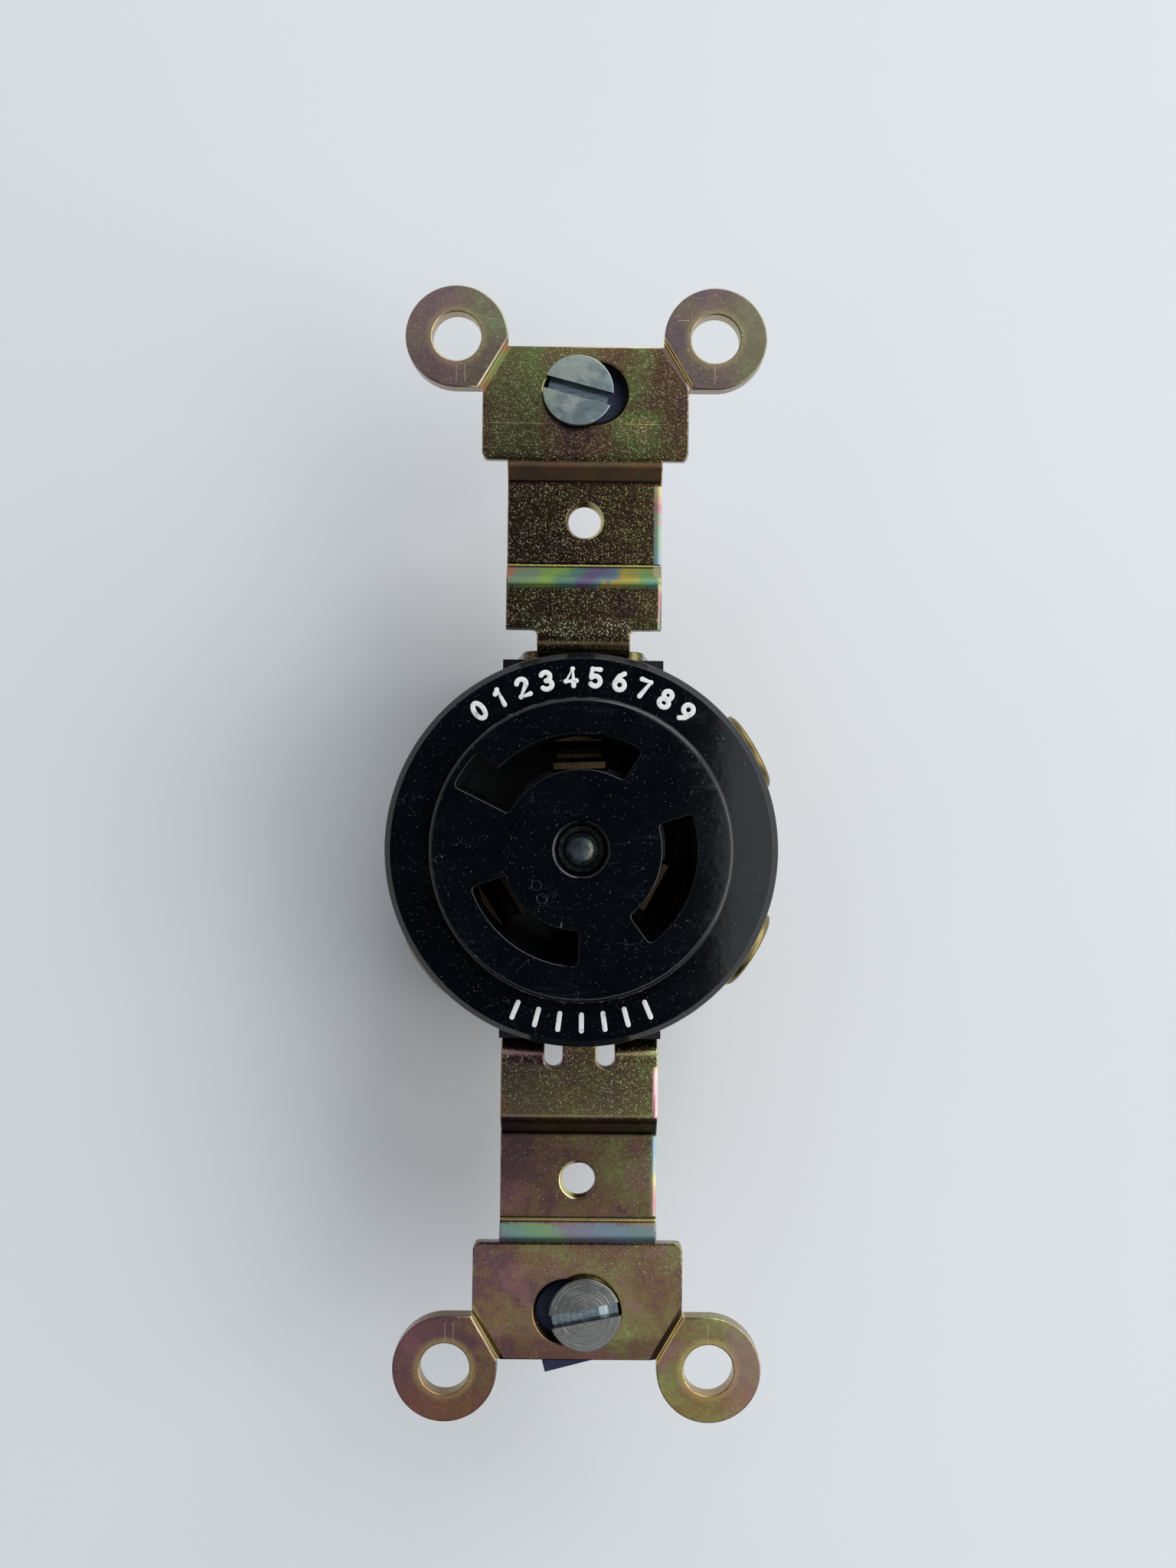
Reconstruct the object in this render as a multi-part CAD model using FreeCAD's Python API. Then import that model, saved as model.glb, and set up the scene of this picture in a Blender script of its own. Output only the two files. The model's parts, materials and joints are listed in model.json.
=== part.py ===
"""Three-pole round locking receptacle on a wrap-around steel strap.

Millimetres. +Z points out of the face and +Y along the strap towards its necked end. The origin is on
the face axis, in the front plane of the strap's end plates and ears.
"""
import FreeCAD
import Part
import os
from math import atan2, cos, hypot, pi, radians, sin

Vector = FreeCAD.Vector
Z_AXIS = Vector(0, 0, 1)
ORIGIN = Vector(0, 0, 0)

# ---- Driving dimensions ------------------------------------------------------------------------

# Clearances
RUNNING = 0.05                 # radial, between a screw and the hole that it turns in
SEAT_GAP = 0.10                # between a moving piece and the face that it comes to rest on
CAVITY_GAP = 0.25              # around a metal piece in a moulded cavity
SNUG = 0.02                    # between pieces that are fixed together

# Strap
STRAP_THICKNESS = 1.4
STRAP_WIDTH = 14.2
BEND_RADIUS = 0.8              # inside of each bend
MOUNTING_SPACING = 83.34       # between the two mounting slots
SLOT_LENGTH = 7.9
SLOT_WIDTH = 5.75
END_PLATE_WIDTH = 18.9
END_PLATE_INWARD = 6.12        # from a mounting slot's centre towards the face
END_PLATE_OUTWARD = 4.27       # from a mounting slot's centre towards the strap's end
END_PLATE_CORNER = 0.7
EAR_PITCH_X = 23.76
EAR_BEYOND_SLOT = 5.13         # from a mounting slot's centre to the ear's, along the strap
EAR_RADIUS = 4.7
EAR_HOLE_RADIUS = 2.25
GROOVE_WIDTH = 0.64
GROOVE_DEPTH = 0.42
COVER_SCREW_SPACING = 60.33    # between the two tapped holes for a cover plate
COVER_HOLE_RADIUS = 1.65
PAD_DEPTH = 1.0                # the flats around the tapped holes are pressed back by this
PAD_INWARD = 4.17
PAD_OUTWARD = 3.55
PAD_SLOPE = 1.5
NECK_WIDTH = 8.5
NECK_LENGTH = 2.85             # from the housing's end to the notch's outer edge
NECK_FILLET = 0.6
SHOULDER_DROP = 4.2            # from the front plane to the top of the leg's shoulders
SHOULDER_RADIUS = 1.5
TAPER_DROP = 14.0              # where the leg has its full width again
TONGUE_WIDTH = 3.1
TONGUE_REACH = 1.75            # into the housing's end
SLIT_WIDTH = 1.65
SLIT_REACH = 2.7               # from the housing's end outwards
WINDOW_DEPTH = 6.0             # of the gap that the tongue leaves in the leg

# Moulded face
FLANGE_RADIUS = 17.6
FLANGE_OVERHANG = 0.6          # past the housing
FLANGE_THICKNESS = 2.2
FLANGE_EDGE = 0.65
DISC_RADIUS = 13.5
DISC_RISE = 1.5
DISC_EDGE = 0.45
SPIGOT_RADIUS = 12.95
SPIGOT_DEPTH = 2.0
BLADE_RADIUS = 8.66            # centre line of the curved blade slots
BLADE_SLOT_WIDTH = 3.08
BLADE_SLOT_CORNER = 0.42
HOOK_RADIUS = 12.5             # outer end of the one slot's radial leg
WELL_RADIUS = 2.3
WELL_RIM_RADIUS = 2.8
WELL_CHAMFER = 0.5
WELL_DEPTH = 3.0

# Housing and rear cover
BODY_DEPTH = 18.0
COVER_DEPTH = 6.0
LUG_WIDTH = 14.6
LUG_PROUD = 0.15               # of the end lugs, past the housing's round wall
LEDGE = 0.63                   # inner wall of the chambers behind the blade slots, past the slots' own
CHAMBER_WALL = 1.1             # between a blade chamber and the contact's channel behind it
HOOK_ROOM = 0.2

# Contacts
LEAF_THICKNESS = 0.6
LEAF_WIDTH = 4.8
LEAF_TOP = 0.6                 # below the face's spigot
CONTACT_OUTWARD = 0.29         # centre of the gap between two leaves, past the slot's centre line
THROAT = 0.9
FLARE_GAP = 2.0                # between the leaves' flared tips
FLARE_HEIGHT = 3.0
LEAF_TRAVEL_ROOM = 0.9
FLOOR_RISE = 2.2               # underside of a contact's floor, in front of the rear cover
TAIL_WIDTH = 2.8
TAIL_INSET = 0.6               # of a tail's end, from the terminal plate
FOOT_GAP = 0.15                # from the outer leaf's foot to the inner leaf

# Terminals
SCREW_DROP = 8.0               # terminal screw axis, below the front plane
TERMINAL_INSET = 2.6           # inner face of a terminal plate, from the housing's round wall
TERMINAL_THICKNESS = 1.2
TERMINAL_WIDTH = 9.4
TERMINAL_TOP = 2.6
TERMINAL_FOOT_REACH = 3.0
PRESSURE_THICKNESS = 1.1
PRESSURE_INSET = 0.4           # of the pressure plate's sides, from the terminal plate's
PRESSURE_GAP = 0.15
TERMINAL_SCREW_RADIUS = 2.08
TERMINAL_SCREW_LENGTH = 4.95
TERMINAL_HEAD_RADIUS = 3.95
TERMINAL_HEAD_RIM = 1.7
TERMINAL_HEAD_CROWN = 0.45
DRIVE_WIDTH = 1.15
DRIVE_DEPTH = 1.0
CONTACT_RIVET_RADIUS = 0.9
CONTACT_RIVET_HEAD = 1.4
CONTACT_RIVET_HEAD_HEIGHT = 0.45
CONTACT_RIVET_INWARD = 1.7     # from the terminal plate's inner face
PAD_CLEAR = 0.3                # between a contact rivet's head and the cover's pad beside it

# Centre rivet
RIVET_RADIUS = 1.3
RIVET_FORMED_STEP = 0.28       # of the formed collar, past the shank
RIVET_FORMED_HEIGHT = 0.35
RIVET_CROWN = 0.5
RIVET_REAR_STEP = 1.3          # of the rear head, past the shank
RIVET_REAR_HEIGHT = 1.3
WASHER_CLEARANCE = 0.15        # to the well's wall
WASHER_THICKNESS = 0.5

# Mounting screws and their retainers
MOUNTING_SCREW_RADIUS = 1.75
MOUNTING_NECK_STEP = 0.25      # the retainer is trapped on a neck this much thinner
MOUNTING_SCREW_LENGTH = 19.05   # with its countersunk head
MOUNTING_HEAD_RADIUS = 3.23
MOUNTING_HEAD_PROUD = 0.75      # of the strap; the head's cone lies in the slot
MOUNTING_HEAD_RIM = 0.3
MOUNTING_HEAD_EDGE = 0.08
MOUNTING_DRIVE_DEPTH = 1.0
POINT_CHAMFER = 0.5
RETAINER_THICKNESS = 0.8
RETAINER_GAP = 0.2

# Blade slots: start and end angle, anticlockwise from +X, in degrees
SLOTS = {"a": (59.0, 154.0), "b": (-53.3, 18.5), "c": (199.3, 268.7)}
HOOKED_SLOT = "a"
HOOK_ANGLES = (137.0, 154.0)
# Each pole: angle of its contact and of its terminal
POLES = {"a": (92.0, 30.0), "b": (-28.0, -31.5), "c": (212.0, 218.5)}
# How far each terminal screw and its pressure plate are backed out
BACKED_OUT = {"a": 0.35, "b": 0.6, "c": 0.2}
# Each mounting screw: end of the strap, sideways place in its slot, turn of its driver slot, size and
# turn of its retainer
MOUNTING_SCREWS = {"upper": (1, -0.7, -14.6, 9.5, 1.5), "lower": (-1, 0.7, 11.3, 10.0, 14.5)}

# ---- Worked-out places -------------------------------------------------------------------------

SLOT_Y = MOUNTING_SPACING / 2
END_Y = SLOT_Y + END_PLATE_OUTWARD
PLATE_Y = SLOT_Y - END_PLATE_INWARD
EAR_X = EAR_PITCH_X / 2
EAR_Y = SLOT_Y + EAR_BEYOND_SLOT
COVER_HOLE_Y = COVER_SCREW_SPACING / 2
BODY_RADIUS = FLANGE_RADIUS - FLANGE_OVERHANG
LUG_Y = BODY_RADIUS + LUG_PROUD
BEND_OUTER = BEND_RADIUS + STRAP_THICKNESS
DISC_TOP = FLANGE_THICKNESS + DISC_RISE
BACK_Z = -BODY_DEPTH - COVER_DEPTH
SLOT_INNER = BLADE_RADIUS - BLADE_SLOT_WIDTH / 2
SLOT_OUTER = BLADE_RADIUS + BLADE_SLOT_WIDTH / 2
CONTACT_RADIUS = BLADE_RADIUS + CONTACT_OUTWARD
LEAF_TOP_Z = -SPIGOT_DEPTH - LEAF_TOP
FLOOR_Z = -BODY_DEPTH + FLOOR_RISE
FLOOR_TOP_Z = FLOOR_Z + LEAF_THICKNESS
CHANNEL_TOP_Z = FLOOR_TOP_Z + CONTACT_RIVET_HEAD_HEIGHT + CAVITY_GAP
FOOT_BOTTOM_Z = FLOOR_Z - TERMINAL_THICKNESS
WELL_FLOOR_Z = DISC_TOP - WELL_DEPTH
TERMINAL_RADIUS = BODY_RADIUS - TERMINAL_INSET
TAIL_OUTER_RADIUS = TERMINAL_RADIUS - TAIL_INSET
TAIL_INNER_RADIUS = TAIL_OUTER_RADIUS - TAIL_WIDTH
CONTACT_RIVET_AT = TERMINAL_RADIUS - CONTACT_RIVET_INWARD
PRESSURE_SIZE = TERMINAL_WIDTH - 2 * PRESSURE_INSET
PRESSURE_RADIUS = TERMINAL_RADIUS + TERMINAL_THICKNESS + PRESSURE_GAP
HEAD_SEAT_RADIUS = PRESSURE_RADIUS + PRESSURE_THICKNESS + SNUG
RETAINER_TOP_Z = -STRAP_THICKNESS - RETAINER_GAP
THREAD_TOP_Z = RETAINER_TOP_Z - RETAINER_THICKNESS - SEAT_GAP
MOUNTING_NECK_RADIUS = MOUNTING_SCREW_RADIUS - MOUNTING_NECK_STEP
TOOL = 80.0                    # reach of a cutting tool that passes right through
OVERRUN = 1.0                  # of a cutting tool past the face that it starts from


# ---- Shape helpers -----------------------------------------------------------------------------

def block(low, high):
    """Box between two corners."""
    size = Vector(*high) - Vector(*low)
    return Part.makeBox(size.x, size.y, size.z, Vector(*low))


def post(radius, low, high, x=0.0, y=0.0):
    """Upright cylinder from height low to height high."""
    return Part.makeCylinder(radius, high - low, Vector(x, y, low))


def rod(radius, start, end, height):
    """Cylinder along +X from start to end, at a height on the XZ plane."""
    return Part.makeCylinder(radius, end - start, Vector(start, 0, height), Vector(1, 0, 0))


def outline(points):
    """Closed flat face through the points."""
    return Part.Face(Part.makePolygon([Vector(*p) for p in points + points[:1]]))


def polar(radius, degrees, height=0.0):
    """Point at a radius and angle about the face axis."""
    return Vector(radius * cos(radians(degrees)), radius * sin(radians(degrees)), height)


def turned(shape, degrees, centre=ORIGIN, axis=Z_AXIS):
    """Copy of a shape, turned about an axis."""
    copy = shape.copy()
    copy.rotate(centre, axis, degrees)
    return copy


def mirrored_x(shape):
    """Copy of a shape on the other side of the YZ plane."""
    return shape.mirror(ORIGIN, Vector(1, 0, 0))


def is_upright(edge):
    """True for a straight edge along Z."""
    ends = edge.Vertexes
    return len(ends) == 2 and hypot(ends[0].X - ends[1].X, ends[0].Y - ends[1].Y) < 1e-6


def ring_sector(inner, outer, start, end, low, high, corner=0.0):
    """Upright sector of a ring between two angles, with its corners rounded."""
    middle = (start + end) / 2
    edges = [
        Part.Arc(polar(outer, start), polar(outer, middle), polar(outer, end)).toShape(),
        Part.makeLine(polar(outer, end), polar(inner, end)),
        Part.Arc(polar(inner, end), polar(inner, middle), polar(inner, start)).toShape(),
        Part.makeLine(polar(inner, start), polar(outer, start)),
    ]
    solid = Part.Face(Part.Wire(edges)).extrude(Vector(0, 0, high - low))
    solid.translate(Vector(0, 0, low))
    if corner:
        solid = solid.makeFillet(corner, [e for e in solid.Edges if is_upright(e)])
    return solid


def slot_tool(length, width, low, high, x=0.0, y=0.0):
    """Upright cutting tool for a round-ended slot along X."""
    reach = (length - width) / 2
    body = block((x - reach, y - width / 2, low), (x + reach, y + width / 2, high))
    ends = [post(width / 2, low, high, x + side * reach, y) for side in (-1, 1)]
    return body.fuse(ends)


def single(shape):
    """A shape with its seams removed, as a plain solid where it is one piece."""
    clean = shape.removeSplitter()
    return clean.Solids[0] if len(clean.Solids) == 1 else clean


def united(shapes):
    """One solid from shapes that overlap."""
    return single(shapes[0].fuse(shapes[1:]))


def save(name, shape):
    """Write one node's solids to its STEP file."""
    if not shape.isValid():
        raise ValueError(name + " is not a valid shape")
    solids = shape.Solids
    print(f"{name}: {len(solids)} solid(s), {sum(s.Volume for s in solids):.1f} mm3")
    whole = solids[0] if len(solids) == 1 else Part.makeCompound(solids)
    whole.exportStep(f"parts/{name}.step")


# ---- Strap -------------------------------------------------------------------------------------

def half_run(side):
    """Edges of the strap's body side in the YZ plane, from one end to the bridge behind the housing."""
    half = [
        (END_Y, 0),
        (COVER_HOLE_Y + PAD_OUTWARD + PAD_SLOPE, 0),
        (COVER_HOLE_Y + PAD_OUTWARD, -PAD_DEPTH),
        (COVER_HOLE_Y - PAD_INWARD, -PAD_DEPTH),
        (COVER_HOLE_Y - PAD_INWARD - PAD_SLOPE, 0),
        (LUG_Y + BEND_OUTER, 0),
    ]
    diagonal = cos(pi / 4)
    upper_bend = (
        (LUG_Y + BEND_OUTER, 0),
        (LUG_Y + BEND_OUTER * (1 - diagonal), -BEND_OUTER * (1 - diagonal)),
        (LUG_Y, -BEND_OUTER),
    )
    lower_bend = (
        (LUG_Y, BACK_Z + BEND_RADIUS),
        (LUG_Y - BEND_RADIUS * (1 - diagonal), BACK_Z + BEND_RADIUS * (1 - diagonal)),
        (LUG_Y - BEND_RADIUS, BACK_Z),
    )
    half, upper, lower = [[Vector(0, side * y, z) for y, z in row] for row in (half, upper_bend, lower_bend)]
    run = [Part.makeLine(start, end) for start, end in zip(half, half[1:])]
    run.append(Part.Arc(*upper).toShape())
    run.append(Part.makeLine(upper[2], lower[0]))
    run.append(Part.Arc(*lower).toShape())
    return run


def strap_run():
    """Path of the strap's body side, from one end round the housing to the other."""
    bridge = Part.makeLine(Vector(0, LUG_Y - BEND_RADIUS, BACK_Z), Vector(0, BEND_RADIUS - LUG_Y, BACK_Z))
    return Part.Wire(half_run(1) + [bridge] + half_run(-1)[::-1])


def strap_band():
    """The bent band, as wide as the end plates."""
    section = strap_run().makeOffset2D(-STRAP_THICKNESS, 2, True, True)
    section.translate(Vector(-END_PLATE_WIDTH / 2, 0, 0))
    return section.extrude(Vector(END_PLATE_WIDTH, 0, 0))


def strap_plan():
    """Upright solid with the strap's outline in plan, without ears."""
    half_width = STRAP_WIDTH / 2
    plan = [block((-half_width, -END_Y, -TOOL), (half_width, END_Y, TOOL))]
    for side in (1, -1):
        low, high = sorted((side * PLATE_Y, side * END_Y))
        plate = block((-END_PLATE_WIDTH / 2, low, -TOOL), (END_PLATE_WIDTH / 2, high, TOOL))
        inner = [e for e in plate.Edges if is_upright(e) and abs(abs(e.Vertexes[0].Y) - PLATE_Y) < 1e-6]
        plan.append(plate.makeFillet(END_PLATE_CORNER, inner))
    return united(plan)


def ear(side_x, side_y):
    """One break-off washer ear with the web that joins it to the end plate."""
    x = side_x * EAR_X
    y = side_y * EAR_Y
    disc = post(EAR_RADIUS, -STRAP_THICKNESS, 0, x, y)
    xs = sorted((x, x - side_x * EAR_RADIUS))
    ys = sorted((y, y - side_y * EAR_RADIUS))
    web = block((xs[0], ys[0], -STRAP_THICKNESS), (xs[1], ys[1], 0))
    return disc.fuse(web)


def ear_groove(side_x, side_y):
    """V-shaped tool for the score line between an ear and its end plate."""
    start = Vector(side_x * END_PLATE_WIDTH / 2, side_y * (EAR_Y - EAR_RADIUS), 0)
    end = Vector(side_x * (EAR_X - EAR_RADIUS), side_y * END_Y, 0)
    along = (end - start).normalize()
    across = along.cross(Z_AXIS) * (GROOVE_WIDTH / 2)
    overrun = along * GROOVE_WIDTH
    base = start - overrun
    top = Vector(0, 0, GROOVE_DEPTH)
    points = [base + across * 2 + top, base - across * 2 + top, base - top]
    section = Part.Face(Part.makePolygon(points + points[:1]))
    return section.extrude(end - start + overrun * 2)


def shoulder_tool():
    """Tool that narrows the strap to its neck and shapes the leg's rounded shoulders, on the +X side."""
    neck = NECK_WIDTH / 2
    inner_y = LUG_Y - OVERRUN
    outer_y = LUG_Y + NECK_LENGTH
    notch = block((neck, inner_y, -SHOULDER_DROP), (STRAP_WIDTH, outer_y, TOOL))
    corner = [e for e in notch.Edges if is_upright(e)
              and abs(e.Vertexes[0].X - neck) < 1e-6 and abs(e.Vertexes[0].Y - outer_y) < 1e-6]
    notch = notch.makeFillet(NECK_FILLET, corner)
    round_start = Vector(neck, inner_y, -SHOULDER_DROP)
    round_end = Vector(neck + SHOULDER_RADIUS, inner_y, -SHOULDER_DROP - SHOULDER_RADIUS)
    diagonal = SHOULDER_RADIUS * cos(pi / 4)
    round_middle = Vector(neck + diagonal, inner_y, -SHOULDER_DROP - SHOULDER_RADIUS + diagonal)
    full = Vector(STRAP_WIDTH / 2, inner_y, -TAPER_DROP)
    far_low = Vector(STRAP_WIDTH, inner_y, -TAPER_DROP)
    far_high = Vector(STRAP_WIDTH, inner_y, -SHOULDER_DROP)
    edges = [
        Part.Arc(round_start, round_middle, round_end).toShape(),
        Part.makeLine(round_end, full),
        Part.makeLine(full, far_low),
        Part.makeLine(far_low, far_high),
        Part.makeLine(far_high, round_start),
    ]
    shoulder = Part.Face(Part.Wire(edges)).extrude(Vector(0, outer_y - inner_y, 0))
    return notch.fuse(shoulder)


def tongue_end(strap):
    """Free the tongue at the strap's wide end and leave it flat, with a slit on each side."""
    reach_x = TONGUE_WIDTH / 2 + SLIT_WIDTH
    bend_y = LUG_Y + BEND_OUTER
    inner_y = OVERRUN - LUG_Y
    window = block((-reach_x, -bend_y, -WINDOW_DEPTH), (reach_x, inner_y, OVERRUN))
    round_y = LUG_Y + SLIT_REACH - SLIT_WIDTH / 2
    root = block((-reach_x, -bend_y, -STRAP_THICKNESS), (reach_x, -round_y, 0))
    tongue = block((-TONGUE_WIDTH / 2, -bend_y, -STRAP_THICKNESS),
                   (TONGUE_WIDTH / 2, TONGUE_REACH - LUG_Y, 0))
    strap = strap.cut(window).fuse([root, tongue])
    slits = []
    for side in (-1, 1):
        x = side * (TONGUE_WIDTH + SLIT_WIDTH) / 2
        slits.append(post(SLIT_WIDTH / 2, -WINDOW_DEPTH, OVERRUN, x, -round_y))
        slits.append(block((x - SLIT_WIDTH / 2, -round_y, -WINDOW_DEPTH),
                           (x + SLIT_WIDTH / 2, inner_y, OVERRUN)))
    return strap.cut(slits)


def mounting_strap():
    """Steel strap: end plates with ears, pads for the cover plate, legs round the housing."""
    strap = strap_band().common(strap_plan())
    corners = [(sx, sy) for sx in (-1, 1) for sy in (-1, 1)]
    strap = strap.fuse([ear(sx, sy) for sx, sy in corners])
    shoulder = shoulder_tool()
    strap = strap.cut([shoulder, mirrored_x(shoulder)])
    strap = tongue_end(strap)
    tools = [ear_groove(sx, sy) for sx, sy in corners]
    tools += [post(EAR_HOLE_RADIUS, -TOOL, TOOL, sx * EAR_X, sy * EAR_Y) for sx, sy in corners]
    for side in (-1, 1):
        tools.append(slot_tool(SLOT_LENGTH, SLOT_WIDTH, -TOOL, TOOL, y=side * SLOT_Y))
        tools.append(post(COVER_HOLE_RADIUS, -TOOL, TOOL, y=side * COVER_HOLE_Y))
    tools += [rivet_hole(), rivet_countersink(SNUG)]
    return single(strap.cut(tools))


# ---- Centre rivet ------------------------------------------------------------------------------

def rivet_hole():
    """Tool for the rivet's hole through every piece that it holds."""
    return post(RIVET_RADIUS + SNUG, -TOOL, TOOL)


def rivet_countersink(gap):
    """Cone of the rivet's rear head, or the seat for it when a gap is given."""
    base = Vector(0, 0, BACK_Z - STRAP_THICKNESS)
    shank = RIVET_RADIUS + gap
    return Part.makeCone(shank + RIVET_REAR_STEP, shank, RIVET_REAR_HEIGHT, base)


def centre_rivet():
    """Steel rivet that holds face, housing, cover and strap together."""
    seat = WELL_FLOOR_Z + WASHER_THICKNESS
    shank = post(RIVET_RADIUS, BACK_Z - STRAP_THICKNESS, seat)
    formed = post(RIVET_RADIUS + RIVET_FORMED_STEP, seat, seat + RIVET_FORMED_HEIGHT)
    crown_radius = (RIVET_RADIUS ** 2 + RIVET_CROWN ** 2) / (2 * RIVET_CROWN)
    crown_top = seat + RIVET_FORMED_HEIGHT + RIVET_CROWN
    ball = Part.makeSphere(crown_radius, Vector(0, 0, crown_top - crown_radius))
    crown = ball.common(post(RIVET_RADIUS, seat, crown_top))
    return united([shank, formed, crown, rivet_countersink(0)])


def rivet_washer():
    """Washer at the bottom of the centre well, under the rivet's formed end."""
    disc = post(WELL_RADIUS - WASHER_CLEARANCE, WELL_FLOOR_Z, WELL_FLOOR_Z + WASHER_THICKNESS)
    return disc.cut(rivet_hole())


# ---- Mouldings ---------------------------------------------------------------------------------

def blade_slots():
    """Tools for the three curved slots, one of them with its radial leg."""
    low = -SPIGOT_DEPTH - OVERRUN
    high = DISC_TOP + OVERRUN
    tools = [ring_sector(SLOT_INNER, SLOT_OUTER, start, end, low, high, BLADE_SLOT_CORNER)
             for start, end in SLOTS.values()]
    start, end = HOOK_ANGLES
    tools.append(ring_sector(BLADE_RADIUS, HOOK_RADIUS, start, end, low, high, BLADE_SLOT_CORNER))
    return tools


def front_face():
    """Flange ring with its raised disc, blade slots, centre well and rear spigot."""
    flange = post(FLANGE_RADIUS, 0, FLANGE_THICKNESS)
    rim = [e for e in flange.Edges if abs(e.BoundBox.ZMin - FLANGE_THICKNESS) < 1e-6]
    flange = flange.makeFillet(FLANGE_EDGE, rim)
    disc = post(DISC_RADIUS, 0, DISC_TOP)
    rim = [e for e in disc.Edges if abs(e.BoundBox.ZMin - DISC_TOP) < 1e-6]
    disc = disc.makeFillet(DISC_EDGE, rim)
    spigot = post(SPIGOT_RADIUS, -SPIGOT_DEPTH, DISC_RISE)
    face = united([flange, disc, spigot])
    chamfer_low = DISC_TOP - WELL_CHAMFER
    well = [
        post(WELL_RADIUS, WELL_FLOOR_Z, DISC_TOP + OVERRUN),
        Part.makeCone(WELL_RADIUS, WELL_RIM_RADIUS, WELL_CHAMFER, Vector(0, 0, chamfer_low)),
        rivet_hole(),
    ]
    return face.cut(blade_slots() + well)


def block_with_lugs(low, high):
    """Round block with the two square end lugs, between two heights."""
    drum = post(BODY_RADIUS, low, high)
    lugs = block((-LUG_WIDTH / 2, -LUG_Y, low), (LUG_WIDTH / 2, LUG_Y, high))
    return united([drum, lugs])


def tail_plan(contact_angle, terminal_angle, low, high, gap):
    """Path of a contact's floor and tail, from the contact round to the terminal, grown by a gap."""
    half = LEAF_WIDTH / 2 + gap
    inner_face = CONTACT_RADIUS - THROAT / 2 - LEAF_THICKNESS - gap
    strip_end = TAIL_OUTER_RADIUS - LEAF_THICKNESS + gap
    floor = turned(block((inner_face, -half, low), (strip_end, half, high)), contact_angle)
    foot = turned(block((TAIL_INNER_RADIUS - gap, -half, low), (TAIL_OUTER_RADIUS + gap, half, high)),
                  terminal_angle)
    start, end = sorted((contact_angle, terminal_angle))
    bend = ring_sector(TAIL_INNER_RADIUS - gap, strip_end, start, end, low, high)
    return [floor, bend, foot]


def pole_cavities(contact_angle, terminal_angle):
    """Tools for one pole: contact chamber, tail channel, terminal pocket and screw relief."""
    half = LEAF_WIDTH / 2 + CAVITY_GAP
    inner = CONTACT_RADIUS - FLARE_GAP / 2 - LEAF_THICKNESS - CAVITY_GAP
    outer = CONTACT_RADIUS + FLARE_GAP / 2 + LEAF_THICKNESS + LEAF_TRAVEL_ROOM
    low = -BODY_DEPTH - OVERRUN
    chamber = turned(block((inner, -half, low), (outer, half, -SPIGOT_DEPTH)), contact_angle)
    channel = tail_plan(contact_angle, terminal_angle, low, CHANNEL_TOP_Z, CAVITY_GAP)
    pocket_half = TERMINAL_WIDTH / 2 + CAVITY_GAP
    pocket = block((TERMINAL_RADIUS - SNUG, -pocket_half, low),
                   (TOOL, pocket_half, CAVITY_GAP - TERMINAL_TOP))
    reach = block((TAIL_OUTER_RADIUS, -half, low), (TERMINAL_RADIUS, half, CHANNEL_TOP_Z))
    tip = HEAD_SEAT_RADIUS - TERMINAL_SCREW_LENGTH - CAVITY_GAP
    relief = rod(TERMINAL_SCREW_RADIUS + CAVITY_GAP, tip, TERMINAL_RADIUS, -SCREW_DROP)
    return [chamber] + channel + [turned(tool, terminal_angle) for tool in (pocket, reach, relief)]


def rear_body():
    """Moulded housing with the three pole chambers."""
    body = block_with_lugs(-BODY_DEPTH, 0)
    tools = [post(SPIGOT_RADIUS + SNUG, -SPIGOT_DEPTH, OVERRUN), rivet_hole()]
    floor = CHANNEL_TOP_Z + CHAMBER_WALL
    for start, end in SLOTS.values():
        tools.append(ring_sector(SLOT_INNER + LEDGE, SLOT_OUTER, start, end, floor, 0))
    start, end = SLOTS[HOOKED_SLOT]
    tools.append(ring_sector(BLADE_RADIUS, HOOK_RADIUS + HOOK_ROOM, start, end, floor, 0))
    for contact_angle, terminal_angle in POLES.values():
        tools += pole_cavities(contact_angle, terminal_angle)
    half = TONGUE_WIDTH / 2 + CAVITY_GAP
    tools.append(block((-half, -TOOL, -STRAP_THICKNESS - SNUG),
                       (half, TONGUE_REACH - LUG_Y + SNUG, OVERRUN)))
    return single(body.cut(tools))


def rear_cover():
    """Moulded cover behind the housing, with posts that carry the contacts and terminal plates."""
    cover = block_with_lugs(BACK_Z, -BODY_DEPTH)
    round_edges = []
    for edge in cover.Edges:
        box = edge.BoundBox
        on_back = abs(box.ZMax - BACK_Z) < 1e-6 and abs(box.ZMin - BACK_Z) < 1e-6
        on_end = box.YMax - box.YMin < 1e-6 and abs(abs(box.YMax) - LUG_Y) < 1e-6
        if on_back and on_end:
            round_edges.append(edge)
    cover = cover.makeFillet(BEND_RADIUS + SNUG, round_edges)
    half = LEAF_WIDTH / 2
    posts = []
    tools = [rivet_hole()]
    post_inner = CONTACT_RADIUS - THROAT / 2
    pad_inner = CONTACT_RIVET_AT + CONTACT_RIVET_HEAD + PAD_CLEAR
    terminal_outer = TERMINAL_RADIUS + TERMINAL_THICKNESS
    for contact_angle, terminal_angle in POLES.values():
        seat = block((post_inner, -half, -BODY_DEPTH), (TAIL_INNER_RADIUS, half, FLOOR_Z))
        pad = block((pad_inner, -half, -BODY_DEPTH), (terminal_outer, half, FOOT_BOTTOM_Z))
        posts += [turned(seat, contact_angle), turned(pad, terminal_angle)]
        notch = block((terminal_outer, -PRESSURE_SIZE / 2, -TOOL), (TOOL, PRESSURE_SIZE / 2, 0))
        tools.append(turned(notch, terminal_angle))
    return united([cover] + posts).cut(tools)


# ---- Contacts and terminals --------------------------------------------------------------------

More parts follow.
